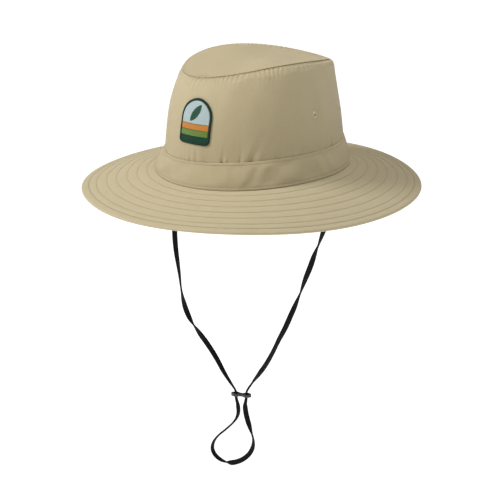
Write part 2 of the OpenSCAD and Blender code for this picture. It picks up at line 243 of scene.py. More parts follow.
def ripples(seed, count, around, along):
    """A smooth random height of about -1 to 1 that repeats round the hat. around is the range of waves in a
    turn, and along the range of waves over one unit of s."""
    rng = np.random.default_rng(seed)
    turns = rng.integers(around[0], around[1] + 1, count)
    runs = rng.uniform(along[0], along[1], count) * rng.choice([-1, 1], count) * TURN
    starts = rng.uniform(0, TURN, count)

    def height(s, phi):
        total = 0.0
        for turn, run, start in zip(turns, runs, starts):
            total = total + np.cos(turn * phi + run * s + start)
        return total / math.sqrt(2 * count)

    return height


def puckering(seed, count):
    """About count small waves in a turn, drawn up unevenly as along a gathered seam."""
    wander = ripples(seed, 6, (3, 11), (0, 0.3))
    strength = ripples(seed + 1, 6, (3, 12), (0, 0))

    def height(s, phi):
        return (0.7 + 0.6 * strength(0, phi)) * np.cos(count * phi + 4 * wander(s, phi))

    return height


# ---------------------------------------------------------------- materials


def node(tree, kind, inputs, **settings):
    """Adds a shader node. A socket among the inputs is linked, and anything else is its value."""
    made = tree.nodes.new("ShaderNode" + kind)
    for key, value in settings.items():
        setattr(made, key, value)
    for key, value in inputs.items():
        if isinstance(value, bpy.types.NodeSocket):
            tree.links.new(value, made.inputs[key])
        else:
            made.inputs[key].default_value = value
    return made


def math_node(tree, operation, first, second=0.5, third=0.5):
    return node(tree, "Math", {0: first, 1: second, 2: third}, operation=operation).outputs[0]


def plain(name, color, roughness, **sockets):
    material = bpy.data.materials.new(name)
    material.use_nodes = True
    shader = material.node_tree.nodes["Principled BSDF"]
    shader.inputs["Base Color"].default_value = (*color, 1)
    shader.inputs["Roughness"].default_value = roughness
    for key, value in sockets.items():
        shader.inputs[key.replace("_", " ")].default_value = value
    return material, material.node_tree, shader


def shade_and_bump(tree, shader, color, value, height, distance):
    """Colours the shader with color at this brightness, and bumps it by this height."""
    tone = node(tree, "HueSaturation", {"Value": value, "Color": (*color, 1)})
    tree.links.new(tone.outputs[0], shader.inputs["Base Color"])
    bump = node(tree, "Bump", {"Height": height, "Distance": distance, "Strength": 1.0})
    tree.links.new(bump.outputs[0], shader.inputs["Normal"])


def woven(name, color, pitch=0.42 * MM, mottle=0.07, slub=0.10, depth=0.10 * MM, roughness=0.86):
    """Plain weave. The mesh's cloth attribute gives the way along the two sets of threads, in metres."""
    material, tree, shader = plain(name, color, roughness, Sheen_Weight=0.18, Sheen_Roughness=0.5)
    shader.inputs["Specular IOR Level"].default_value = 0.25
    place = node(tree, "Attribute", {}, attribute_name="cloth").outputs["Vector"]
    parts = node(tree, "SeparateXYZ", {0: place})
    swing = [
        math_node(tree, "SINE", math_node(tree, "MULTIPLY", parts.outputs[k], math.pi / pitch)) for k in (0, 1)
    ]
    over = math_node(tree, "MULTIPLY", swing[0], swing[1])
    weave = math_node(tree, "ABSOLUTE", over)
    across = node(tree, "Mapping", {"Vector": place, "Scale": (1400, 90, 1)}).outputs[0]
    along = node(tree, "Mapping", {"Vector": place, "Scale": (90, 1400, 1)}).outputs[0]
    slubs = [node(tree, "TexNoise", {"Vector": v, "Scale": 1.0, "Detail": 2.0}).outputs[0] for v in (across, along)]
    slub_sum = math_node(tree, "ADD", slubs[0], slubs[1])
    cloud = node(tree, "TexNoise", {"Vector": place, "Scale": 55.0, "Detail": 4.0}).outputs[0]
    # Painted shade: the colour is darkened by the point attribute that marks seams and stitch rows.
    groove_and_painted_shade = node(tree, "Attribute", {}, attribute_name="groove_and_painted_shade").outputs["Fac"]
    value = math_node(tree, "MULTIPLY_ADD", cloud, mottle, 1 - mottle / 2)
    value = math_node(tree, "MULTIPLY_ADD", slub_sum, slub, math_node(tree, "SUBTRACT", value, slub))
    value = math_node(tree, "MULTIPLY", value, math_node(tree, "SUBTRACT", 1.0, groove_and_painted_shade))
    height = math_node(tree, "MULTIPLY_ADD", slub_sum, 0.8, weave)
    shade_and_bump(tree, shader, color, value, height, depth)
    return material


def threaded(name, color, frequency=2300.0, roughness=0.55, sheen=0.2, specular=0.35):
    """Lustrous thread whose fibres run along the cloth attribute's first direction."""
    material, tree, shader = plain(name, color, roughness, Sheen_Weight=sheen, Sheen_Roughness=0.4)
    shader.inputs["Specular IOR Level"].default_value = specular
    place = node(tree, "Attribute", {}, attribute_name="cloth").outputs["Vector"]
    parts = node(tree, "SeparateXYZ", {0: place})
    wobble = node(tree, "TexNoise", {"Vector": place, "Scale": 420.0, "Detail": 2.0}).outputs[0]
    line = math_node(tree, "MULTIPLY_ADD", wobble, 2.2, math_node(tree, "MULTIPLY", parts.outputs[1], TURN * frequency))
    strand = math_node(tree, "ABSOLUTE", math_node(tree, "SINE", line))
    # Painted shade: the colour is darkened by the point attribute that marks the grooves between threads.
    groove_and_painted_shade = node(tree, "Attribute", {}, attribute_name="groove_and_painted_shade").outputs["Fac"]
    value = math_node(tree, "MULTIPLY_ADD", strand, 0.22, 0.84)
    value = math_node(tree, "MULTIPLY_ADD", wobble, 0.16, math_node(tree, "SUBTRACT", value, 0.08))
    value = math_node(tree, "MULTIPLY", value, math_node(tree, "SUBTRACT", 1.0, groove_and_painted_shade))
    shade_and_bump(tree, shader, color, value, strand, 0.12 * MM)
    return material


def moulded(name, color):
    material, tree, shader = plain(name, color, 0.32, Coat_Weight=0.25, Coat_Roughness=0.2)
    place = node(tree, "NewGeometry", {}).outputs["Position"]
    grain = node(tree, "TexNoise", {"Vector": place, "Scale": 2600.0, "Detail": 3.0}).outputs[0]
    value = math_node(tree, "MULTIPLY_ADD", grain, 0.3, 0.85)
    shade_and_bump(tree, shader, color, value, grain, 0.02 * MM)
    return material


KHAKI = (0.520, 0.437, 0.266)
crown_cloth = woven("crown_cloth", KHAKI)
brim_cloth = woven("brim_cloth", (0.535, 0.456, 0.286))
under_cloth = woven("under_cloth", (0.490, 0.412, 0.252))
core_cloth = woven("brim_core", (0.80, 0.78, 0.72), pitch=0.6 * MM)
sweat_cloth = woven("sweatband_cloth", (0.40, 0.335, 0.205), pitch=0.7 * MM, depth=0.16 * MM)
tape_cloth = woven("tape_cloth", (0.45, 0.38, 0.23))
khaki_thread = threaded("khaki_thread", (0.56, 0.475, 0.30))
# The eyelet thread is coloured lighter than the cloth to stand for the satin's sheen: painted highlight.
eyelet_thread = threaded("eyelet_thread", (0.65, 0.57, 0.39))
patch_twill = threaded("patch_twill", (0.005, 0.052, 0.026), frequency=1500.0, sheen=0.05, specular=0.2)
patch_edge = threaded("patch_edge", (0.005, 0.040, 0.021), sheen=0.05, specular=0.25)
patch_pale = threaded("patch_pale", (0.50, 0.62, 0.63))
patch_orange = threaded("patch_orange", (0.66, 0.24, 0.028))
patch_lime = threaded("patch_leaf_green", (0.15, 0.27, 0.035))
patch_dark = threaded("patch_dark_green", (0.010, 0.080, 0.040), sheen=0.08)
cord_cloth = threaded("cord_webbing", (0.0045, 0.0045, 0.005), frequency=1200.0, roughness=0.75, sheen=0.03, specular=0.18)
slider_plastic = moulded("slider_plastic", (0.014, 0.014, 0.015))


# ---------------------------------------------------------------- chin cord and slider

slider_low, slider_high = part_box("cord_slider")
SLIDER_AT = (slider_low + slider_high) / 2
SLIDER_TURN = math.radians(19)
SLIDER_PITCH = 10.8 * MM
CORD_WIDTH = 5.4 * MM
CORD_THICK = 1.8 * MM
# The cord is squeezed to this width in the slider's holes.
CORD_PINCHED = 3.7 * MM

RIGHT_ARM = [
    (-88, 0, -9.4), (-88, 0, -11), (-89, 0, -24), (-91, 0, -40), (-93, 0, -56), (-94.5, 0, -72),
    (-95, 0, -88), (-94, 0, -104), (-92, 0, -118), (-90, 0, -131), (-88.5, 0, -144), (-86, 0, -157),
    (-82, 0, -169), (-75.5, 0, -180), (-66, 0, -190), (-55, 0, -201), (-45, 0, -213), (-36, 0, -226),
    (-28, -0.5, -235), (-21.5, -1.5, -241), (-19.8, -1.8, -244), (-19.8, -1.8, -246),
]
LEFT_ARM = [
    (88, 0, -9.4), (88, 0, -11), (86, 0, -24), (82.5, 0, -39), (78, 0, -54), (73.5, 0, -67),
    (68.5, 0, -80), (64, 0, -93), (59, 0, -106), (54.5, 0, -119), (49, 0, -133), (43, 0, -147),
    (37, 0, -161), (30, 0, -175), (23, 0, -190), (15, 0, -205), (6, 0, -219), (-1, 0.3, -229),
    (-7, 1, -238), (-9.6, 1.8, -243), (-9.6, 1.8, -246),
]
LOOP = [
    (-19.8, -1.8, -246), (-19.6, -1.8, -250), (-18, -1.3, -258), (-17.6, -1, -266), (-19.5, -1.6, -273),
    (-24, -3.2, -280), (-31, -5.6, -288), (-38.5, -8.2, -296), (-43, -9.8, -304), (-44, -10, -312),
    (-40.5, -9, -319), (-33.5, -6.5, -324), (-25, -3.5, -325), (-15.5, -0.3, -321), (-8, 2.3, -314),
    (-3.8, 3.8, -306), (-2.5, 4.2, -298), (-3.8, 3.8, -290), (-6, 3, -282), (-8.3, 2.2, -274),
    (-10, 1.6, -266), (-10.8, 1.4, -258), (-9.8, 1.7, -250), (-9.6, 1.8, -246),
]


def smooth_path(route, step):
    """Points about a step apart on a smooth curve through the route."""
    knots = np.array(route, float) * MM
    ends = [2 * knots[0] - knots[1], *knots, 2 * knots[-1] - knots[-2]]
    fine = []
    for p0, p1, p2, p3 in zip(ends, ends[1:], ends[2:], ends[3:]):
        for t in np.linspace(0, 1, 24, endpoint=False):
            bend = 2 * p0 - 5 * p1 + 4 * p2 - p3
            twist = 3 * p1 - p0 - 3 * p2 + p3
            fine.append(0.5 * (2 * p1 + (p2 - p0) * t + bend * t**2 + twist * t**3))
    fine = np.array([*fine, knots[-1]])
    run = np.concatenate([[0], np.cumsum(np.linalg.norm(np.diff(fine, axis=0), axis=1))])
    count = max(2, round(run[-1] / step) + 1)
    at = np.linspace(0, run[-1], count)
    return np.stack([np.interp(at, run, fine[:, k]) for k in range(3)], -1), at


def strap(name, route, turns, width=CORD_WIDTH, thick=CORD_THICK, pinch=True, sides=22, step=0.42 * MM, body=None):
    """A flat braided cord along a route. turns lists (share of the way, angle of its flat face in degrees), and
    at 0 degrees the flat face looks at the camera."""
    path, run = smooth_path(route, step)
    way = unit(np.gradient(path, axis=0))
    across = np.array([math.cos(VIEW_ANGLE), math.sin(VIEW_ANGLE), 0])
    side = unit(across - way * (way @ across)[:, None])
    front = np.cross(side, way)
    marks = np.array(turns, float)
    by_run = marks[:, 0] * run[-1]
    angle = np.radians(np.interp(run, by_run, marks[:, 1]))
    kernel = np.hanning(15)
    angle = np.convolve(np.pad(angle, 7, mode="edge"), kernel / kernel.sum(), mode="valid")
    flat = np.cos(angle)[:, None] * side + np.sin(angle)[:, None] * front
    proud = np.cross(flat, way)
    near = np.linalg.norm(path - np.array(SLIDER_AT), axis=1) if pinch else np.full(len(path), 1.0)
    squeeze = 1 - ease(8.0 * MM, 15.0 * MM, near)
    wide = width + (CORD_PINCHED - width) * squeeze
    turn = np.arange(sides) / sides * TURN
    # A flat oval with full edges
    u = np.sign(np.cos(turn)) * np.abs(np.cos(turn)) ** 0.75
    v = np.sign(np.sin(turn)) * np.abs(np.sin(turn)) ** 0.5
    chevron = np.cos(TURN * (run[:, None] / (1.7 * MM)) + np.abs(u)[None, :] * 5.0)
    relief = 1 + 0.16 * chevron * np.abs(v)[None, :]
    selvedge = 1 - 0.10 * bell(np.abs(u)[None, :] - 0.72, 0.08)
    points = (
        path[:, None, :]
        + flat[:, None, :] * (u[None, :] * wide[:, None] / 2)[..., None]
        + proud[:, None, :] * (v[None, :] * relief * selvedge * thick / 2)[..., None]
    )
    coords = np.stack(np.broadcast_arrays(run[:, None], u[None, :] * width / 2, 0.0), -1)
    rows = len(path)
    points = np.concatenate([points.reshape(-1, 3), path[:1], path[-1:]])
    coords = np.concatenate([coords.reshape(-1, 3), np.zeros((2, 3))])
    faces = [
        grid_faces(rows, sides),
        fan_faces(sides, 0, rows * sides, flip=True),
        fan_faces(sides, (rows - 1) * sides, rows * sides + 1),
    ]
    return add_piece(name, points, faces, cord_cloth, body, coords=coords), path, run[-1]


def make_slider():
    """The two-hole slider: rounded eyes, a waist between them and a knob at each end."""
    half_l = (slider_high - slider_low).to_2d().length / 2
    length = 21.0 * MM
    half_t = 1.55 * MM
    outline = []
    stations = np.linspace(-1, 1, 161)
    x = stations * length / 2
    eye = np.maximum(0, 1 - ((np.abs(x) - SLIDER_PITCH / 2) / (3.9 * MM)) ** 2) ** 0.5 * 3.5 * MM
    knob = np.maximum(0, 1 - ((np.abs(x) - length / 2 + 2.3 * MM) / (2.3 * MM)) ** 2) ** 0.5 * 2.3 * MM
    waist = np.where(np.abs(x) < SLIDER_PITCH / 2, 2.3 * MM, 0)
    half_w = np.maximum(np.maximum(eye, knob), waist)
    upper = list(zip(x, half_w))
    outline = upper + [(a, -b) for a, b in reversed(upper[1:-1])]
    body = prism("slider_body", outline, half_t)
    for sign in (-1, 1):
        hole = [(sign * SLIDER_PITCH / 2 + 2.15 * MM * math.cos(t), 1.75 * MM * math.sin(t))
                for t in np.linspace(0, TURN, 40, endpoint=False)]
        cutter = prism("cutter", hole, 3 * half_t)
        cut = body.modifiers.new("hole", "BOOLEAN")
        cut.operation = "DIFFERENCE"
        cut.solver = "EXACT"
        cut.object = cutter
    remesh = body.modifiers.new("even", "REMESH")
    remesh.mode = "VOXEL"
    remesh.voxel_size = 0.16 * MM
    soft = body.modifiers.new("round", "SMOOTH")
    soft.factor = 0.5
    soft.iterations = 14
    apply_modifiers(body)
    for cutter in [o for o in bpy.data.objects if o.name.startswith("cutter")]:
        bpy.data.objects.remove(cutter)
    place = np.array([v.co for v in body.data.vertices])
    # The middle is dished for a thumb and finger.
    place[:, 2] *= 1 - 0.30 * bell(place[:, 0], 2.6 * MM)
    turn = np.array([[math.cos(SLIDER_TURN), -math.sin(SLIDER_TURN), 0],
                     [math.sin(SLIDER_TURN), math.cos(SLIDER_TURN), 0], [0, 0, 1]])
    place = place @ turn.T + np.array(SLIDER_AT)
    body.data.vertices.foreach_set("co", place.astype(np.float32).ravel())
    body.data.update()
    body.data.polygons.foreach_set("use_smooth", np.ones(len(body.data.polygons), bool))
    body.data.materials.clear()
    body.data.materials.append(slider_plastic)
    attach(body, "cord_slider")
    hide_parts("cord_slider")
    return body


def prism(name, outline, half_t):
    count = len(outline)
    points = [(x, y, z) for z in (-half_t, half_t) for x, y in outline]
    ring = list(range(count))
    faces = [ring[::-1], [count + i for i in ring]]
    faces += [[i, (i + 1) % count, count + (i + 1) % count, count + i] for i in ring]
    mesh = bpy.data.meshes.new(name)
    mesh.from_pydata(points, [], faces)
    mesh.update()
    piece = bpy.data.objects.new(name, mesh)
    bpy.context.scene.collection.objects.link(piece)
    return piece


def apply_modifiers(piece):
    depsgraph = bpy.context.evaluated_depsgraph_get()
    depsgraph.update()
    final = bpy.data.meshes.new_from_object(piece.evaluated_get(depsgraph))
    piece.modifiers.clear()
    old = piece.data
    piece.data = final
    bpy.data.meshes.remove(old)


slider_body = make_slider()
right_turns = [
    (0, 90), (0.22, 20), (0.29, 5), (0.36, 30), (0.44, 62), (0.51, 88), (0.55, 112), (0.60, 165), (0.625, 190),
    (0.66, 235), (0.68, 270), (0.72, 322), (0.75, 350), (0.80, 375), (0.88, 400), (0.95, 425), (1, 440),
]
left_turns = [
    (0, 90), (0.10, 60), (0.178, 25), (0.238, 72), (0.29, 130), (0.349, 175), (0.405, 215), (0.467, 268),
    (0.52, 312), (0.607, 355), (0.71, 392), (0.78, 380), (0.847, 368), (0.90, 395), (0.94, 430), (1, 450),
]
loop_turns = [
    (0, 60), (0.05, 50), (0.12, 52), (0.22, 68), (0.35, 56), (0.45, 58), (0.525, 66), (0.60, 60), (0.683, 50),
    (0.767, 84), (0.81, 125), (0.85, 165), (0.90, 185), (0.96, 225), (1, 250),
]
for name, cad, route, turns in (
    ("chin_cord_right_webbing", "chin_cord_right", RIGHT_ARM, right_turns),
    ("chin_cord_left_webbing", "chin_cord_left", LEFT_ARM, left_turns),
    ("chin_cord_loop_webbing", "chin_cord_loop", LOOP, loop_turns),
):
    piece, path, length = strap(name, route, turns)
    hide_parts(cad)
    if cad == "chin_cord_loop":
        lowest = tuple(path[path[:, 2].argmin()])
        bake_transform(piece)
    else:
        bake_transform(piece)


# ---------------------------------------------------------------- shape of the cloth

band_low, band_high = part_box("crown_band")
side_low, side_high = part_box("crown_side")
edge_low, edge_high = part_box("brim_top")
tip_low, tip_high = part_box("crown_tip")
SEAM_W, SEAM_L = band_high.x, (band_high.y - band_low.y) / 2
EDGE_W, EDGE_L = edge_high.x, (edge_high.y - edge_low.y) / 2
BRIM_STACK = 2.6 * MM
EDGE_Z = edge_low.z + BRIM_STACK + 0.5 * MM
BAND_TOP = band_high.z - 1.9 * MM
WALL_W = side_high.x + 0.1 * MM
WALL_L = (side_high.y - side_low.y) / 2 + 0.3 * MM
ROLL_Z = 90 * MM
TIP_Z = tip_low.z + 0.5 * MM
PLY = 0.8 * MM

# How the sewn rings lie: shares of cos phi, sin phi, cos 2 phi and sin 2 phi in their height, in mm
SEAM_LIE = (2.57, 0.0, -1.55, 0.0)
EDGE_LIE = (1.7, -1.2, 1.25, 0.0)
BAND_LIE = (-2.0, 0.6, 0.1, 2.1)
TIP_LIE = (0.4, 2.0, -3.4, 3.6)


def lie(shares, phi):
    return MM * (
        shares[0] * np.cos(phi) + shares[1] * np.sin(phi) + shares[2] * np.cos(2 * phi) + shares[3] * np.sin(2 * phi)
    )


def oval(phi, half_w, half_l, mid_y, height, shift=0.0):
    parts = np.broadcast_arrays(shift + half_w * np.sin(phi), mid_y - half_l * np.cos(phi), height)
    return np.stack(parts, -1)


def mix(a, b, t):
    return a + (b - a) * t


def place_wall(h, phi):
    """The crown's wall: h is 0 at the band's top edge, 1 where the wall starts to turn in and 2 at the tip."""
    wall = np.clip(h, -0.2, 1)
    roll = np.clip(h - 1, 0, 1.2) * math.pi / 2
    z = mix(BAND_TOP, ROLL_Z, wall)
    u = 0.94 * wall
    half_w = WALL_W - 11 * MM * u + 8 * MM * u * (1 - u)
    half_l = WALL_L - 15 * MM * u + 8 * MM * u * (1 - u)
    mid_y = 3 * MM + 6.5 * MM * np.clip(u, 0, 1) ** 4
    # The cloth turns in further on the left, where the wall's edge lies flatter.
    inset = (1.9 + 4.0 * ease(-0.3, 0.9, np.sin(phi))) * MM * (1 - np.cos(roll))
    # The wall's own slope runs on into the roll.
    inset = inset + 0.26 * (TIP_Z - ROLL_Z) * np.sin(roll)
    z = z + (TIP_Z - ROLL_Z) * np.sin(roll)
    share = (z - BAND_TOP) / (TIP_Z - BAND_TOP)
    z = z + mix(lie(BAND_LIE, phi), lie(TIP_LIE, phi), share)
    spread = 0.8 * MM * np.cos(2 * phi) * (1 - share)
    return oval(phi, half_w - inset + spread, half_l - inset + spread, mid_y + 2.4 * MM * np.sin(roll), z,
                -1.1 * MM * share)


def place_band(h, phi):
    """The band: h is 0 at its foot and 1 at its top edge."""
    out = 0.75 * MM
    bulge = 0.7 * MM * np.sin(np.pi * np.clip(h, 0, 1))
    top = place_wall(np.zeros_like(h * phi), phi)
    foot = oval(phi, SEAM_W, SEAM_L, 0.0, lie(SEAM_LIE, phi))
    foot, top = np.broadcast_arrays(foot, top)
    place = mix(foot, top, np.asarray(h * np.ones_like(phi))[..., None])
    away = np.stack(np.broadcast_arrays(np.sin(phi) * (out + bulge), -np.cos(phi) * (out + bulge), 0.0 * h * phi), -1)
    return place + away


def place_brim(v, phi):
    """The brim's top face: v is 0 at its edge and 1 at the seam."""
    edge = oval(phi, EDGE_W, EDGE_L, 0.0, EDGE_Z + lie(EDGE_LIE, phi))
    seam = oval(phi, SEAM_W - PLY, SEAM_L - PLY, 0.0, lie(SEAM_LIE, phi))
    v = np.asarray(v * np.ones_like(phi))[..., None]
    return mix(edge, seam, v)


def place_tip(r, phi):
    """The crown's tip: r is 0 in its middle and 1 at its seam."""
    rim = place_wall(2.0 * np.ones_like(r * phi), phi)
    middle = np.array([-1.1 * MM, 10.5 * MM, TIP_Z])
    rise = 2.4 * MM * (1 - r**2) - 1.2 * MM * bell(r, 0.42)
    place = mix(middle, rim, np.asarray(r * np.ones_like(phi))[..., None])
    place[..., 2] += rise
    return place


class Cloth:
    """A sheet of cloth: a smooth surface place(s, phi), and relief(s, phi), how far it stands off it."""

    def __init__(self, place, relief):
        self.place = place
        self.relief = relief

    def normal(self, s, phi):
        step = 1e-3
        along = self.place(s + step, phi) - self.place(s - step, phi)
        around = self.place(s, phi + step) - self.place(s, phi - step)
        return unit(np.cross(around, along))

    def at(self, s, phi, off=0.0):
        s, phi, off = np.broadcast_arrays(s, phi, off)
        return self.place(s, phi) + self.normal(s, phi) * (self.relief(s, phi) + off)[..., None]


# Height of the wall and of its rolled edge along the cloth
WALL_RUN = 67.5 * MM
ROLL_RUN = 11 * MM
EYELETS = ["eyelet_left_front", "eyelet_left_rear", "eyelet_right_front", "eyelet_right_rear"]


def wall_ways(h):
    """How far a height on the wall is from the band and from the tip's seam, along the cloth."""
    from_band = np.clip(h, -1, 1) * WALL_RUN + np.clip(h - 1, 0, 1) * ROLL_RUN
    return from_band, WALL_RUN + ROLL_RUN - from_band


def find_on_wall(x, z, sign=-1.0):
    """The height h and the angle phi of the point of the wall at x and z, on its front or its back."""
    h = (z - BAND_TOP) / (ROLL_Z - BAND_TOP)
    phi = np.arcsin(np.clip(x / WALL_W, -1, 1))
    for _ in range(8):
        place = place_wall(h, phi)
        h = h + (z - place[..., 2]) / (ROLL_Z - BAND_TOP)
        phi = phi + (x - place[..., 0]) / WALL_W / np.maximum(np.cos(phi), 0.2)
    return h, phi


def eyelet_place(name):
    """The height and the angle of the point of the wall nearest to the middle of an eyelet."""
    low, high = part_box(name)
    middle = np.array((low + high) / 2)
    around = math.atan2(middle[0], -middle[1])
    h, phi = np.meshgrid(np.linspace(0, 1, 401), around + np.linspace(-0.2, 0.2, 401), indexing="ij")
    best = np.linalg.norm(place_wall(h, phi) - middle, axis=-1).argmin()
    return h.flat[best], phi.flat[best]


EYELET_PLACES = [eyelet_place(name) for name in EYELETS]
soft_folds = ripples(4, 7, (2, 6), (0.1, 0.5))
small_folds = ripples(9, 12, (9, 22), (0.3, 1.4))
tip_gathers = puckering(21, 96)
band_gathers = puckering(33, 61)
gather_strength = ripples(35, 5, (2, 7), (0, 0))
fine_waves = ripples(41, 14, (60, 150), (3, 9))


# Puckers that stand over the band's top edge: angle from the front in degrees, then depth, width and height in
# mm, and how far they lean for each mm of height
PUCKERS = [
    (18.5, 1.15, 2.0, 5.5, 0.15), (21.5, 0.5, 1.4, 4.0, 0.0), (29.5, 0.9, 1.8, 5.0, 0.1), (36.0, 1.1, 3.8, 9.0, 0.55),
    (52.0, 0.6, 2.0, 6.0, 0.3), (-34.0, 0.7, 1.8, 6.0, -0.2), (-71.0, 0.9, 2.2, 8.0, 0.2), (96.0, 0.8, 2.2, 7.0, -0.3),
    (131.0, 1.1, 1.9, 8.0, 0.25), (154.0, 0.8, 1.6, 6.0, 0.0), (197.0, 1.1, 2.4, 9.0, -0.4), (221.0, 0.8, 1.6, 5.0, 0.1),
]


def round_gap(phi, angle):
    """The angle from one to the other, the short way round."""
    return (phi - angle + math.pi) % TURN - math.pi


def gathering(phi):
    """How strongly the cloth is gathered along the crown's seams."""
    return np.clip(0.65 + 0.45 * gather_strength(0, phi), 0.4, 0.85)


def wall_relief(h, phi):
    from_band, from_seam = wall_ways(h)
    free = ease(0, 14 * MM, from_band) * ease(0, 12 * MM, from_seam)
    gathered = gathering(phi)
    relief = 0.95 * soft_folds(h, phi) * free + 0.30 * small_folds(h, phi) * free
    relief = relief + 1.0 * gathered * tip_gathers(h, phi) * np.exp(-np.abs(from_seam - 3.5 * MM) / (4.0 * MM))
    relief = relief + 0.42 * gathered * band_gathers(h, phi) * np.exp(-np.abs(from_band - 1.0 * MM) / (5.5 * MM))
    for angle, depth, width, height, lean in PUCKERS:
        away = round_gap(phi, math.radians(angle)) * WALL_L / MM - lean * from_band / MM
        fold = bell(away, width) - 0.45 * bell(np.abs(away) - 1.9 * width, width)
        relief = relief - depth * fold * np.exp(-np.abs(from_band) / (height * MM))
    relief = relief + 0.25 * (1 - ease(4.0 * MM, 7.5 * MM, from_seam))
    relief = relief - 0.20 * bell(from_seam - 2.4 * MM, 0.8 * MM) - (0.3 + 0.3 * gathered) * bell(from_seam, 0.9 * MM)
    relief = relief + 0.035 * fine_waves(h, phi)
    back = np.abs(round_gap(phi, math.pi)) * WALL_W
    relief = relief + 0.35 * ease(5.5 * MM, 4.5 * MM, back)
    for eyelet_h, eyelet_phi in EYELET_PLACES:
        away = (h - eyelet_h) ** 2 * WALL_RUN**2 + round_gap(phi, eyelet_phi) ** 2 * WALL_L**2
        relief = relief - 0.7 * np.exp(-away / (5.5 * MM) ** 2)
    return MM * relief


# Painted shade along the tip's seam and the band's top edge: how much the cloth's colour is darkened there.
def wall_painted_shade(h, phi):
    from_band, from_seam = wall_ways(h)
    uneven = 0.6 + 0.4 * gather_strength(0, phi)
    return 0.12 * uneven * bell(from_seam, 0.8 * MM) + 0.22 * uneven * bell(from_band - 0.4 * MM, 0.9 * MM)


BAND_RUN = 26 * MM
band_folds = ripples(52, 8, (5, 16), (0.2, 0.9))


STITCH_PITCH = 3.0 * MM
# Half the length of the seam round the head
SEAM_RUN = math.pi * (SEAM_W + SEAM_L)


def pulled(phi, strength):
    """How far the cloth is drawn in at each stitch of a row."""
    return strength * (0.5 + 0.5 * np.cos(phi * round(SEAM_RUN / STITCH_PITCH)))


# Creases across the band: angle from the front in degrees, depth and width in mm, and lean
BAND_CREASES = [
    (41.0, 0.6, 4.8, -0.4), (24.0, 0.35, 4.0, 0.3), (-22.0, 0.35, 4.4, 0.4), (-63.0, 0.45, 5.0, -0.3),
    (83.0, 0.4, 4.8, 0.3), (118.0, 0.55, 5.0, -0.4), (163.0, 0.45, 4.2, 0.2), (208.0, 0.55, 5.2, 0.4),
    (251.0, 0.45, 4.4, -0.3),
]


def band_relief(h, phi):
    up = h * BAND_RUN
    down = BAND_RUN - up
    free = ease(1 * MM, 8 * MM, up) * ease(0, 7 * MM, down)
    relief = 0.80 * band_folds(h, phi) * free
    for angle, depth, width, lean in BAND_CREASES:
        away = round_gap(phi, math.radians(angle)) * WALL_L / MM - lean * down / MM
        relief = relief - depth * (bell(away, width) - 0.5 * bell(np.abs(away) - 1.8 * width, width)) * free
    relief = relief + 0.12 * band_gathers(h, phi) * np.exp(-down / (5 * MM))
    relief = relief + 0.12 * fine_waves(0.2 * h, phi) * np.exp(-up / (5 * MM))
    row = bell(up - 3.1 * MM, 0.7 * MM)
    relief = relief - (0.10 + pulled(phi, 0.22)) * row + 0.34 * bell(up - 1.5 * MM, 1.2 * MM)
    relief = relief - 0.16 * bell(down - 2.0 * MM, 0.7 * MM)
    return MM * relief


# Painted shade at the band's foot, along its stitch row and below its top edge: how much the cloth's colour is darkened
# there.
def band_painted_shade(h, phi):
    up = h * BAND_RUN
    row = (0.03 + pulled(phi, 0.09)) * bell(up - 3.1 * MM, 0.6 * MM)
    return 0.42 * bell(up + 0.1 * MM, 0.75 * MM) + row + 0.05 * bell(BAND_RUN - up - 2.0 * MM, 0.6 * MM)


# Distances of the brim's rows of stitching from its edge
ROWS = [7.3 * MM] + [(14.6 + 9.75 * k) * MM for k in range(6)]
BRIM_RUN = 72.5 * MM
brim_waves = ripples(61, 5, (2, 5), (0.1, 0.4))
brim_puckers = ripples(63, 18, (70, 170), (0.5, 3))


def quilting(inset):
    groove_and_painted_shade = sum(bell(inset - row, 0.75 * MM) for row in ROWS)
    nearest = np.min([np.abs(inset - row) for row in ROWS], axis=0)
    return groove_and_painted_shade, nearest


def brim_relief(v, phi):
    inset = v * BRIM_RUN
    groove_and_painted_shade, nearest = quilting(inset)
    relief = 0.9 * brim_waves(v, phi) * ease(0, 1, 1 - v)
    relief = relief - 0.20 * groove_and_painted_shade + 0.18 * ease(0, 4.5 * MM, nearest)
    relief = relief + 0.10 * brim_puckers(v, phi) * np.exp(-nearest / (3 * MM))
    return MM * relief


def brim_under_relief(v, phi):
    inset = v * BRIM_RUN
    groove_and_painted_shade, nearest = quilting(inset)
    relief = 0.9 * brim_waves(v, phi) * ease(0, 1, 1 - v)
    relief = relief + 0.20 * groove_and_painted_shade - 0.18 * ease(0, 4.5 * MM, nearest)
    return MM * (relief + 0.10 * brim_puckers(v, phi + 0.3) * np.exp(-nearest / (3 * MM)))


tip_rng = np.random.default_rng(77)
TIP_WAVES = [(*tip_rng.uniform(-1, 1, 2) * TURN / (46 * MM), tip_rng.uniform(0, TURN)) for _ in range(9)]


def tip_relief(r, phi):
    from_seam = (1 - r) * 68 * MM
    x = r * np.sin(phi) * 0.063
    y = -r * np.cos(phi) * 0.076
    relief = 0.0
    for kx, ky, start in TIP_WAVES:
        relief = relief + 0.36 * np.cos(kx * x + ky * y + start)
    relief = relief * ease(0, 20 * MM, from_seam)
    gathered = gathering(phi)
    drawn = gathered * tip_gathers(0.5, phi) * ease(0, 0.2, r)
    relief = relief + 0.75 * drawn * np.exp(-np.abs(from_seam - 3.0 * MM) / (3.5 * MM))
    relief = relief + 0.25 * ease(8.5 * MM, 5.0 * MM, from_seam)
    relief = relief - (0.3 + 0.3 * gathered) * bell(from_seam, 0.9 * MM)
    return MM * relief


wall = Cloth(place_wall, wall_relief)
band = Cloth(place_band, band_relief)
brim = Cloth(lambda v, phi: place_brim(v, phi), brim_relief)
brim_bottom = Cloth(lambda v, phi: place_brim(v, phi), brim_under_relief)
tip = Cloth(place_tip, tip_relief)


# ---------------------------------------------------------------- cloth pieces

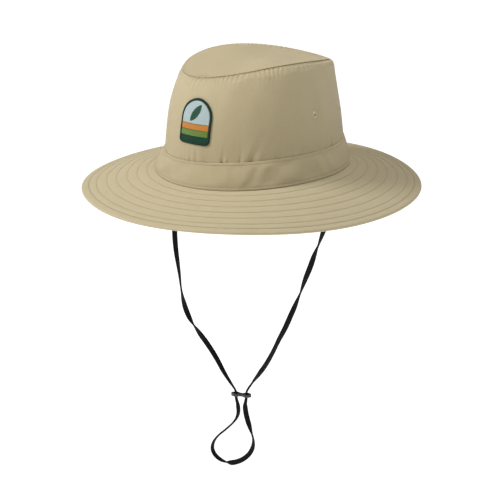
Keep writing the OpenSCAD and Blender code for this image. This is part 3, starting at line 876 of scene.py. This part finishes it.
AROUND = 720
PHI = np.arange(AROUND) / AROUND * TURN


def hem_rows(outer, inner, outward):
    """Rows that round a cut edge off, from the last outer row to the first inner one."""
    middle = (outer + inner) / 2
    half = (outer - inner) / 2
    reach = np.linalg.norm(half, axis=-1, keepdims=True)
    return [
        middle + half * math.cos(a) + unit(outward) * reach * math.sin(a)
        for a in (math.pi / 4, math.pi / 2, 3 * math.pi / 4)
    ]


def shell(name, cloth, stations, thickness, material, replaces, reach, way_up, groove_and_painted_shade=None, holes=()):
    """A closed hoop of cloth between two edges, with rounded hems. reach is its radius, and way_up gives how far
    up the cloth a station is."""
    s = np.asarray(stations)[:, None] * np.ones(AROUND)
    phi = np.ones(len(stations))[:, None] * PHI
    outer = cloth.at(s, phi)
    inner = cloth.at(s, phi, -thickness)
    head = hem_rows(outer[-1], inner[-1], outer[-1] - outer[-2])
    foot = hem_rows(inner[0], outer[0], inner[0] - inner[1])
    rows = [*outer, *head, *inner[::-1], *foot]
    points = np.stack(rows)
    count = len(stations)
    order = [*range(count), *[count - 1] * 3, *range(count - 1, -1, -1), *[0] * 3]
    along = way_up(np.asarray(stations)[order])
    coords = np.stack(np.broadcast_arrays(PHI[None, :] * reach, along[:, None], 0.0), -1)
    # Painted shade along the outer face's seams, from the function given.
    depth = np.zeros(points.shape[:2])
    if groove_and_painted_shade:
        depth[:count] = groove_and_painted_shade(s, phi)
    faces = grid_faces(len(rows), AROUND, wrap_rows=True)
    keep = np.ones(len(faces), bool)
    bridges = []
    for hole_s, hole_phi, radius in holes:
        middle = cloth.at(np.array(hole_s), np.array(hole_phi))
        quads = keep.reshape(len(rows), AROUND)
        cell = (outer[:-1] + np.roll(outer, -1, 1)[:-1] + outer[1:] + np.roll(outer, -1, 1)[1:]) / 4
        gone = np.linalg.norm(cell - middle, axis=-1) < radius
        mirror = 2 * count + 3 - 1
        for i, j in zip(*np.nonzero(gone)):
            quads[i, j] = False
            quads[mirror - 1 - i, j] = False
        top = lambda i, j: i * AROUND + j % AROUND
        low = lambda i, j: (mirror - i) * AROUND + j % AROUND
        for i, j in zip(*np.nonzero(gone)):
            sides = [((i - 1, j), (i, j), (i, j + 1)), ((i + 1, j), (i + 1, j + 1), (i + 1, j)),
                     ((i, j - 1), (i + 1, j), (i, j)), ((i, j + 1), (i, j + 1), (i + 1, j + 1))]
            for neighbour, a, b in sides:
                if not gone[neighbour[0], neighbour[1] % AROUND]:
                    bridges.append([top(*a), top(*b), low(*b), low(*a)])
    face_sets = [faces[keep]]
    if bridges:
        face_sets.append(np.array(bridges))
    return add_piece(name, points, face_sets, material, "hat", replaces, coords, depth, TURN * reach)


wall_stations = np.concatenate([np.linspace(-0.05, 0.96, 96), 1 + np.linspace(0, 1.12, 28)])
shell("crown_side_cloth", wall, wall_stations, PLY, crown_cloth, ["crown_side"], WALL_L,
      lambda h: wall_ways(h)[0], wall_painted_shade, [(h, phi, 2.1 * MM) for h, phi in EYELET_PLACES])
shell("crown_band_cloth", band, np.linspace(0.0, 1.0, 48), PLY, crown_cloth, ["crown_band"], SEAM_L,
      lambda h: h * BAND_RUN, band_painted_shade)


def polar_sheet(name, cloth, radii, thickness, material, replaces):
    """A closed round sheet with its pole in the middle."""
    around = AROUND
    phi = np.arange(around) / around * TURN
    s = radii[:, None] * np.ones(around)
    grid_phi = np.ones(len(radii))[:, None] * phi
    outer = cloth.at(s, grid_phi)
    inner = cloth.at(s, grid_phi, -thickness)
    head = hem_rows(outer[-1], inner[-1], outer[-1] - outer[-2])
    rows = np.stack([*outer, *head, *inner[::-1]])
    first, last = outer[0].mean(0), inner[0].mean(0)
    points = np.concatenate([rows.reshape(-1, 3), [first, last]])
    total = len(rows) * around
    faces = [
        grid_faces(len(rows), around),
        fan_faces(around, 0, total, flip=True),
        fan_faces(around, (len(rows) - 1) * around, total + 1),
    ]
    groove_and_painted_shade = np.zeros(len(points))
    # Painted shade along the tip's seam.
    groove_and_painted_shade[: len(radii) * around] = (0.22 * bell((1 - s) * 68 * MM, 0.8 * MM)).ravel()
    return add_piece(name, points, faces, material, "hat", replaces, points, groove_and_painted_shade)


polar_sheet("crown_tip_cloth", tip, np.concatenate([np.linspace(0.02, 0.88, 60), np.linspace(0.89, 1.0, 22)]),
            PLY, crown_cloth, ["crown_tip"])


def profile_ring(name, outer, inner, material, replaces, groove_and_painted_shade=None):
    """A closed hoop whose section runs along outer, a list of (inset, depth, face), and back along inner."""
    rows = []
    # Painted shade along the brim's stitch rows, from the function given.
    painted_shades = []
    for inset, depth, face in [*outer, *inner[::-1]]:
        v = np.full(AROUND * 4 // 3, inset / BRIM_RUN)
        phi = np.arange(len(v)) / len(v) * TURN
        rows.append(face.at(v, phi, -depth))
        painted_shades.append(np.full(len(v), groove_and_painted_shade(inset) if groove_and_painted_shade and face is not None else 0.0))
    points = np.stack(rows)
    faces = grid_faces(len(rows), points.shape[1], wrap_rows=True)
    return add_piece(name, points, [faces], material, "hat", replaces, points, np.stack(painted_shades))


# Painted shade in the brim's stitch rows, strongest in the row by the edge.
def row_painted_shade(inset):
    main = 0.13 if abs(inset - ROWS[0]) < 2 * MM else 0.035
    return main * float(quilting(np.array(inset))[0])


def arc(radius, depth, start, end, count):
    """Points of a round edge as (inset, depth), where the brim's edge is at inset 0."""
    angles = np.radians(np.linspace(start, end, count))
    return [(depth - radius * math.sin(a), depth - radius * math.cos(a)) for a in angles]


HALF = BRIM_STACK / 2
top_insets = np.linspace(BRIM_RUN + 0.6 * MM, HALF + 0.1 * MM, 210)
hem_insets = np.linspace(HALF + 0.2 * MM, 8.6 * MM, 18)
blank = Cloth(place_brim, lambda v, phi: MM * 0.9 * brim_waves(v, phi) * ease(0, 1, 1 - v))
top_outer = [(x, 0.0, brim) for x in top_insets] + [(x, z, blank) for x, z in arc(HALF, HALF, 8, 172, 13)]
top_outer += [(x, BRIM_STACK, blank) for x in hem_insets]
top_inner = [(x, PLY, brim) for x in top_insets] + [(x, z, blank) for x, z in arc(HALF - PLY, HALF, 8, 172, 13)]
top_inner += [(x, BRIM_STACK - PLY, blank) for x in hem_insets]
profile_ring("brim_top_cloth", top_outer[::-1], top_inner[::-1], brim_cloth, ["brim_top"], row_painted_shade)

core_insets = np.linspace(BRIM_RUN, 2.4 * MM, 30)
profile_ring("brim_interlining_felt", [(x, 0.95 * MM, blank) for x in core_insets][::-1],
             [(x, 1.55 * MM, blank) for x in core_insets][::-1], core_cloth, ["brim_interlining"])


def under_depth(inset):
    """The under ply lies on the turned hem near the edge, and on the interlining further in."""
    return BRIM_STACK - 0.7 * MM + 0.75 * MM * (1 - float(ease(8.4 * MM, 11 * MM, np.array(inset))))


under_insets = np.linspace(BRIM_RUN + 0.4 * MM, 3.6 * MM, 190)
under_outer = [(x, under_depth(x) + PLY, brim_bottom) for x in under_insets]
under_outer += [(3.6 * MM - 0.28 * MM, under_depth(3.6 * MM) + 0.62 * MM, brim_bottom)]
under_inner = [(x, under_depth(x) + 0.05 * MM, brim_bottom) for x in under_insets]
under_inner += [(3.6 * MM - 0.28 * MM, under_depth(3.6 * MM) + 0.22 * MM, brim_bottom)]
profile_ring("brim_under_cloth", under_outer, under_inner, under_cloth, ["brim_under"], row_painted_shade)


# ---------------------------------------------------------------- sweatband and tape

SWEAT_RUN = 28 * MM
sweat_waves = ripples(81, 8, (4, 14), (0.1, 0.6))


def place_sweatband(h, phi):
    """Inside the band: h is 0 at the sweatband's foot and 1 at its top edge."""
    low = place_band(0.0 * phi + 0.0 * h, phi)
    place = place_band(np.clip(h * 1.06 - 0.06, -0.2, 1.2) * np.ones_like(phi), phi)
    place[..., 2] = np.where(h < 0.09, low[..., 2] - (0.09 - h) * SWEAT_RUN, place[..., 2])
    inward = 3.1 * MM - 0.4 * MM * np.asarray(h * np.ones_like(phi))
    place[..., 0] -= np.sin(phi) * inward
    place[..., 1] += np.cos(phi) * inward
    return place


def sweatband_relief(h, phi):
    free = ease(0.1, 0.4, h) * ease(1.0, 0.7, h)
    relief = 0.25 * sweat_waves(h, phi) * free + 0.05 * fine_waves(h, phi)
    return MM * (relief + 0.3 * bell((h - 0.16) * SWEAT_RUN, 0.9 * MM) - 0.25 * bell((1 - h) * SWEAT_RUN - 2.2 * MM, 0.8 * MM))


sweatband = Cloth(place_sweatband, sweatband_relief)
shell("sweatband_knit", sweatband, np.linspace(0.0, 0.93, 44), 1.0 * MM, sweat_cloth,
      ["sweatband"], SEAM_L, lambda h: h * SWEAT_RUN)
tape = Cloth(place_wall, lambda h, phi: wall_relief(h, phi) * 0.8 - PLY - 0.25 * MM)
tape_stations = np.concatenate([np.linspace(0.93, 1, 8), np.linspace(1.05, 1.75, 12)])
shell("tip_seam_tape_cloth", tape, tape_stations, 0.4 * MM, tape_cloth, ["tip_seam_tape"], WALL_L,
      lambda h: wall_ways(h)[0])


# ---------------------------------------------------------------- stitching

THREAD = 0.36 * MM
STITCH_STEPS = np.linspace(0, 1, 5)
STITCH_SIDES = 6


def stitch_tubes(centres, normals):
    """Little arched tubes of thread. centres and normals are arrays of stitches by points by 3."""
    along = np.stack([np.gradient(centres[..., k], axis=1) for k in range(3)], -1)
    way = unit(along)
    up = unit(normals - way * (normals * way).sum(-1, keepdims=True))
    side = np.cross(way, up)
    radius = THREAD / 2 * (0.55 + 0.45 * np.sin(np.pi * STITCH_STEPS) ** 0.5)
    turn = np.arange(STITCH_SIDES) / STITCH_SIDES * TURN
    ring = (
        np.cos(turn)[None, None, :, None] * up[:, :, None, :] + np.sin(turn)[None, None, :, None] * side[:, :, None, :]
    )
    points = centres[:, :, None, :] + ring * radius[None, :, None, None]
    count, steps, sides = points.shape[:3]
    one = grid_faces(steps, sides)
    last = (steps - 1) * sides
    caps = np.array([[3, 2, 1, 0], [5, 4, 3, 0], [last, last + 1, last + 2, last + 3], [last, last + 3, last + 4, last + 5]])
    one = np.concatenate([one, caps])
    faces = (one[None] + (np.arange(count) * steps * sides)[:, None, None]).reshape(-1, 4)
    coords = np.broadcast_arrays(STITCH_STEPS[None, :, None] * 2.4 * MM, np.sin(turn)[None, None, :] * THREAD / 2, 0.0)
    coords = np.broadcast_to(np.stack(coords, -1), (count, steps, sides, 3))
    return points.reshape(-1, 3), faces, coords.reshape(-1, 3)


def row_on(cloth, s_of_phi, pitch=3.0 * MM, lift=0.10 * MM, face=1.0, off=0.0):
    """The middles and normals of a row of stitches round a cloth, at the height s_of_phi(phi)."""
    fine = np.linspace(0, TURN, 2000)
    line = cloth.at(s_of_phi(fine), fine, off)
    run = np.concatenate([[0], np.cumsum(np.linalg.norm(np.diff(line, axis=0), axis=1))])
    count = round(run[-1] / pitch)
    share = (np.arange(count)[:, None] + 0.10 + 0.80 * STITCH_STEPS[None, :]) / count
    phi = np.interp(share * run[-1], run, fine)
    arch = lift + 0.55 * THREAD * (np.sin(np.pi * STITCH_STEPS) ** 0.7 - 0.45)
    s = s_of_phi(phi)
    centres = cloth.at(s, phi, off + face * arch[None, :])
    return centres, face * cloth.normal(s, phi)


def stitch_piece(name, rows, cad, material=khaki_thread):
    points, faces, coords = [], [], []
    first = 0
    for centres, normals in rows:
        p, f, c = stitch_tubes(centres, normals)
        points.append(p)
        faces.append(f + first)
        coords.append(c)
        first += len(p)
    return add_piece(name, np.concatenate(points), [np.concatenate(faces)], material, "hat", [cad],
                     np.concatenate(coords))


def level(value):
    return lambda phi: np.full_like(phi, value)


def brim_rows(insets):
    rows = [row_on(brim, level(inset / BRIM_RUN)) for inset in insets]
    rows += [row_on(brim_bottom, level(inset / BRIM_RUN), face=-1.0, off=-under_depth(inset) - PLY) for inset in insets]
    return rows


stitch_piece("brim_stitches", brim_rows(ROWS[1:]), "brim_stitching")
stitch_piece("brim_edge_stitches", brim_rows(ROWS[:1]), "brim_edge_stitch")
stitch_piece("tip_stitches", [row_on(wall, level(2 - 2.4 * MM / ROLL_RUN))], "tip_topstitch")
stitch_piece("band_top_stitches", [row_on(band, level(1 - 2.0 * MM / BAND_RUN))], "band_top_stitch")
stitch_piece("band_bottom_stitches", [row_on(band, level(3.1 * MM / BAND_RUN))], "band_bottom_stitch")
stitch_piece("sweatband_stitches", [row_on(sweatband, level(0.86), face=-1.0, off=-1.0 * MM)],
             "sweatband_stitch")


def back_seam_row():
    heights = np.linspace(0.03, 1.0, 400)
    count = round(0.97 * WALL_RUN / (3.0 * MM))
    share = (np.arange(count)[:, None] + 0.10 + 0.80 * STITCH_STEPS[None, :]) / count
    h = mix(heights[0], heights[-1], share)
    phi = np.full_like(h, math.pi + 4.6 * MM / WALL_L)
    arch = 0.10 * MM + 0.55 * THREAD * (np.sin(np.pi * STITCH_STEPS) ** 0.7 - 0.45)
    return wall.at(h, phi, arch[None, :]), wall.normal(h, phi)


stitch_piece("back_seam_stitches", [back_seam_row()], "back_seam_stitch")


# ---------------------------------------------------------------- eyelets


def make_eyelet(name, h, phi):
    """Satin stitches wrapped round a hole: a ridged ring on each face of the cloth, joined through it."""
    h = np.array(h)
    phi = np.array(phi)
    centre = wall.at(h, phi)
    normal = wall.normal(h, phi)
    side = unit(np.cross(np.array([0, 0, 1.0]), normal))
    up = np.cross(normal, side)
    threads = 34
    around = threads * 6
    turn = np.arange(around) / around * TURN
    bore, rim, dome = 1.4 * MM, 3.2 * MM, 0.9 * MM
    half, mean = (rim - bore) / 2, (rim + bore) / 2
    outside = [(mean + half * math.cos(a), 0.05 * MM + dome * math.sin(a)) for a in np.linspace(0, math.pi, 11)]
    inside = [(mean - half * math.cos(a), -PLY - 0.15 * MM - dome * math.sin(a)) for a in np.linspace(0, math.pi, 11)]
    section = np.array(outside + inside)
    ridge = np.abs(np.cos(turn * threads / 2)) ** 0.6
    jitter = np.random.default_rng(len(name)).uniform(0.9, 1.1, threads).repeat(6)
    radius = section[:, 0][:, None] + (section[:, 0] - mean)[:, None] * 0.10 * (jitter[None, :] * ridge - 0.6)
    height = section[:, 1][:, None] * (0.86 + 0.16 * ridge)[None, :]
    points = (
        centre
        + (radius * np.cos(turn))[..., None] * side
        + (radius * np.sin(turn))[..., None] * up
        + height[..., None] * normal
    )
    coords = np.stack(np.broadcast_arrays(radius, turn[None, :] * 0.0, 0.0), -1)
    # Painted shade between the satin threads.
    groove_and_painted_shade = 0.35 * (1 - ridge)[None, :] * np.ones((len(section), 1))
    faces = grid_faces(len(section), around, wrap_rows=True)[:, ::-1]
    add_piece(name + "_thread", points, [faces], eyelet_thread, "hat", [name], coords, groove_and_painted_shade)


for eyelet, (eyelet_h, eyelet_phi) in zip(EYELETS, EYELET_PLACES):
    make_eyelet(eyelet, eyelet_h, eyelet_phi)


# ---------------------------------------------------------------- patch

patch_low, patch_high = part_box("patch_border")
PATCH_W = patch_high.x - patch_low.x
PATCH_H = patch_high.z - patch_low.z
PATCH_Z = (patch_high.z + patch_low.z) / 2
PATCH_X = (patch_high.x + patch_low.x) / 2
BORDER = 2.0 * MM
patch_wall = Cloth(place_wall, lambda h, phi: wall_relief(h, phi))


def on_patch(a, b, off):
    """A point of the patch: a across, b up from its middle, off from the cloth."""
    h, phi = find_on_wall(PATCH_X + a, PATCH_Z + b)
    return patch_wall.at(h, phi, off)


def resample(outline, count):
    closed = np.concatenate([outline, outline[:1]])
    run = np.concatenate([[0], np.cumsum(np.linalg.norm(np.diff(closed, axis=0), axis=1))])
    at = np.linspace(0, run[-1], count, endpoint=False)
    return np.stack([np.interp(at, run, closed[:, k]) for k in range(2)], -1)


def circle_points(x, y, radius, start, end, count):
    angles = np.radians(np.linspace(start, end, count))
    return np.stack([x + radius * np.cos(angles), y + radius * np.sin(angles)], -1)


def arch(width, height, corner, count=420):
    """An upright shape with a round top and small round corners below."""
    x, y = width / 2 - corner, height / 2 - corner
    outline = [
        circle_points(x, -y, corner, -90, 0, 12),
        circle_points(0, height / 2 - width / 2, width / 2, 0, 180, 80),
        circle_points(-x, -y, corner, 180, 270, 12),
    ]
    return resample(np.concatenate(outline), count)


def zone(low, high, width, height, corner, count=360):
    """The part of an arch between two heights."""
    whole = arch(width, height, corner, 2400)
    right = whole[(whole[:, 0] > 0) & (whole[:, 1] > low) & (whole[:, 1] < high)]
    left = right[::-1] * np.array([-1, 1])
    return resample(np.concatenate([right, left]), count)


def pillow(name, outline, base, thick, edge, material, cad, thread_angle=0.0, extra=None):
    """A filled shape of thread that stands thick off the level base, with a rounded edge."""
    middle = (outline.max(0) + outline.min(0)) / 2
    reach = np.linalg.norm(outline - middle, axis=1)
    ins = np.concatenate([np.array([0, 0.06, 0.16, 0.32, 0.55, 0.8, 1.0]) * edge, np.linspace(1.6, 14, 12) * edge])
    rows, offs, flats = [], [], []
    for d in ins:
        f = np.clip(1 - d / reach, 0, 1)[:, None]
        flat = middle + (outline - middle) * f
        share = min(1.0, d / edge)
        rise = thick * math.sqrt(1 - (1 - share) ** 2)
        off = np.full(len(outline), base + rise)
        flats.append(flat)
        offs.append(off)
    # The rest of the way to the middle
    inner = flats[-1]
    for f in (0.8, 0.6, 0.4, 0.2, 0.06):
        flats.append(middle + (inner - middle) * f)
        offs.append(np.full(len(outline), base + thick))
    flat = np.stack(flats)
    off = np.stack(offs)
    if extra is not None:
        off = off + extra(flat)
    top = on_patch(flat[..., 0], flat[..., 1], off)
    bottom_flat = np.stack([outline, middle + (outline - middle) * 0.5])
    bottom = on_patch(bottom_flat[..., 0], bottom_flat[..., 1], np.full(bottom_flat.shape[:2], base - 0.1 * MM))
    rows = np.concatenate([bottom[::-1], top])
    count = len(outline)
    poles = [bottom[-1].mean(0), top[-1].mean(0)]
    points = np.concatenate([rows.reshape(-1, 3), poles])
    total = len(rows) * count
    faces = [
        grid_faces(len(rows), count),
        fan_faces(count, 0, total, flip=True),
        fan_faces(count, (len(rows) - 1) * count, total + 1),
    ]
    c, s = math.cos(thread_angle), math.sin(thread_angle)
    every = np.concatenate([bottom_flat[::-1], flat]).reshape(-1, 2)
    every = np.concatenate([every, [middle, middle]])
    coords = np.stack([every @ [c, s], every @ [-s, c], np.zeros(len(every))], -1)
    return add_piece(name, points, faces, material, "hat", [cad], coords)


def rope(name, outline, base, half_w, half_h, material, cad):
    """A border of thread wrapped over an edge."""
    count = len(outline)
    following = np.roll(outline, -1, 0) - np.roll(outline, 1, 0)
    outward = unit(np.stack([following[:, 1], -following[:, 0]], -1))
    run = np.arange(count) / count * np.linalg.norm(following, axis=1).sum() / 2
    sides = 16
    turn = np.arange(sides) / sides * TURN
    wraps = round(run[-1] / (0.85 * MM))
    phase = TURN * wraps * np.arange(count)[:, None] / count + 1.3 * np.cos(turn)[None, :]
    ridge = np.abs(np.cos(phase / 2)) ** 0.7
    size = 0.90 + 0.13 * ridge
    across = size * half_w * np.cos(turn)[None, :]
    height = base + half_h + size * half_h * np.sin(turn)[None, :]
    flat = outline[:, None, :] + outward[:, None, :] * across[..., None]
    points = on_patch(flat[..., 0], flat[..., 1], height)
    coords = np.stack(np.broadcast_arrays(across, run[:, None], 0.0), -1)
    faces = grid_faces(count, sides, wrap_rows=True)
    # The border's colour is darkened between its wraps: painted shade.
    return add_piece(name, points, [faces], material, "hat", [cad], coords, 0.30 * (1 - ridge))


INNER_W = PATCH_W - 2 * BORDER
INNER_H = PATCH_H - 2 * BORDER
TWILL_TOP = 1.0 * MM
FIELD_LOW = -2.0 * MM
STRIPE = 5.0 * MM
pillow("patch_twill_base", arch(INNER_W + 0.8 * MM, INNER_H + 0.8 * MM, 2.4 * MM), 0.15 * MM, 0.85 * MM, 0.4 * MM,
       patch_twill, "patch_base", thread_angle=math.radians(50))
pillow("patch_pale_satin", zone(FIELD_LOW, 1.0, INNER_W - 0.3 * MM, INNER_H - 0.3 * MM, 2 * MM), TWILL_TOP,
       0.40 * MM, 0.5 * MM, patch_pale, "patch_pale_field", thread_angle=math.radians(90))
pillow("patch_orange_satin", zone(FIELD_LOW - 0.15 * MM - STRIPE, FIELD_LOW - 0.15 * MM, INNER_W - 0.3 * MM,
       INNER_H - 0.3 * MM, 2 * MM), TWILL_TOP, 0.45 * MM, 0.5 * MM, patch_orange,
       "patch_orange_band", thread_angle=math.radians(82))
pillow("patch_green_satin", zone(FIELD_LOW - 0.3 * MM - 2 * STRIPE, FIELD_LOW - 0.3 * MM - STRIPE,
       INNER_W - 0.3 * MM, INNER_H - 0.3 * MM, 2 * MM), TWILL_TOP, 0.40 * MM, 0.5 * MM, patch_lime,
       "patch_green_band", thread_angle=math.radians(98))

LEAF_R, LEAF_SHIFT, LEAF_TURN, LEAF_UP = 13 * MM, 9.5 * MM, math.radians(-35), 7 * MM


def leaf_outline():
    half = math.degrees(math.acos(LEAF_SHIFT / LEAF_R))
    sides = [
        circle_points(-LEAF_SHIFT, 0, LEAF_R, -half, half, 90),
        circle_points(LEAF_SHIFT, 0, LEAF_R, 180 - half, 180 + half, 90),
    ]
    flat = resample(np.concatenate(sides), 240)
    c, s = math.cos(LEAF_TURN), math.sin(LEAF_TURN)
    return flat @ np.array([[c, s], [-s, c]]) + np.array([0, LEAF_UP])


def leaf_vein(flat):
    c, s = math.cos(LEAF_TURN), math.sin(LEAF_TURN)
    across = (flat - np.array([0, LEAF_UP])) @ np.array([c, s])
    return -0.28 * MM * bell(across, 0.32 * MM)


pillow("patch_leaf_satin", leaf_outline(), TWILL_TOP + 0.40 * MM, 0.45 * MM, 0.5 * MM, patch_dark,
       "patch_leaf", thread_angle=LEAF_TURN + math.radians(25), extra=leaf_vein)
rope("patch_border_thread", arch(PATCH_W - BORDER, PATCH_H - BORDER, 3.0 * MM, 1100), 0.05 * MM, 1.05 * MM,
     0.82 * MM, patch_edge, "patch_border")


# ---------------------------------------------------------------- cord tabs


def make_tab(side, name, cad, tack_name, tack_cad):
    """The end of the cord that is sewn into the seam, and the tack of thread across it."""
    low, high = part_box(cad)
    x = (low.x + high.x) / 2 / MM
    route = [(x, 0, high.z / MM + 1.2), (x, 0, (high.z + low.z) / 2 / MM), (x, 0, low.z / MM)]
    tab, _, _ = strap(name, route, [(0, 90), (1, 90)], width=5.4 * MM, thick=1.8 * MM, pinch=False)
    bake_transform(tab)
    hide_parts(cad)
    tack_low, tack_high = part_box(tack_cad)
    threads = 9
    z = np.linspace(tack_low.z, tack_high.z, threads)[:, None] * np.ones(5)
    y = np.linspace(-2.6, 2.6, 5)[None, :] * MM * np.ones((threads, 1))
    z = z + 0.12 * MM * np.where(np.arange(threads) % 2, 1, -1)[:, None] * np.linspace(-1, 1, 5)[None, :]
    face = x * MM - side * 1.0 * MM
    centres = np.stack([np.full_like(y, face), y, z], -1)
    normals = np.broadcast_to(np.array([-side, 0.0, 0.0]), centres.shape)
    points, faces, coords = stitch_tubes(centres, normals)
    add_piece(tack_name, points, [faces], cord_cloth, "hat", [tack_cad], coords)


make_tab(1, "cord_tab_left_webbing", "cord_tab_left", "bartack_left_thread", "bartack_left")
make_tab(-1, "cord_tab_right_webbing", "cord_tab_right", "bartack_right_thread", "bartack_right")
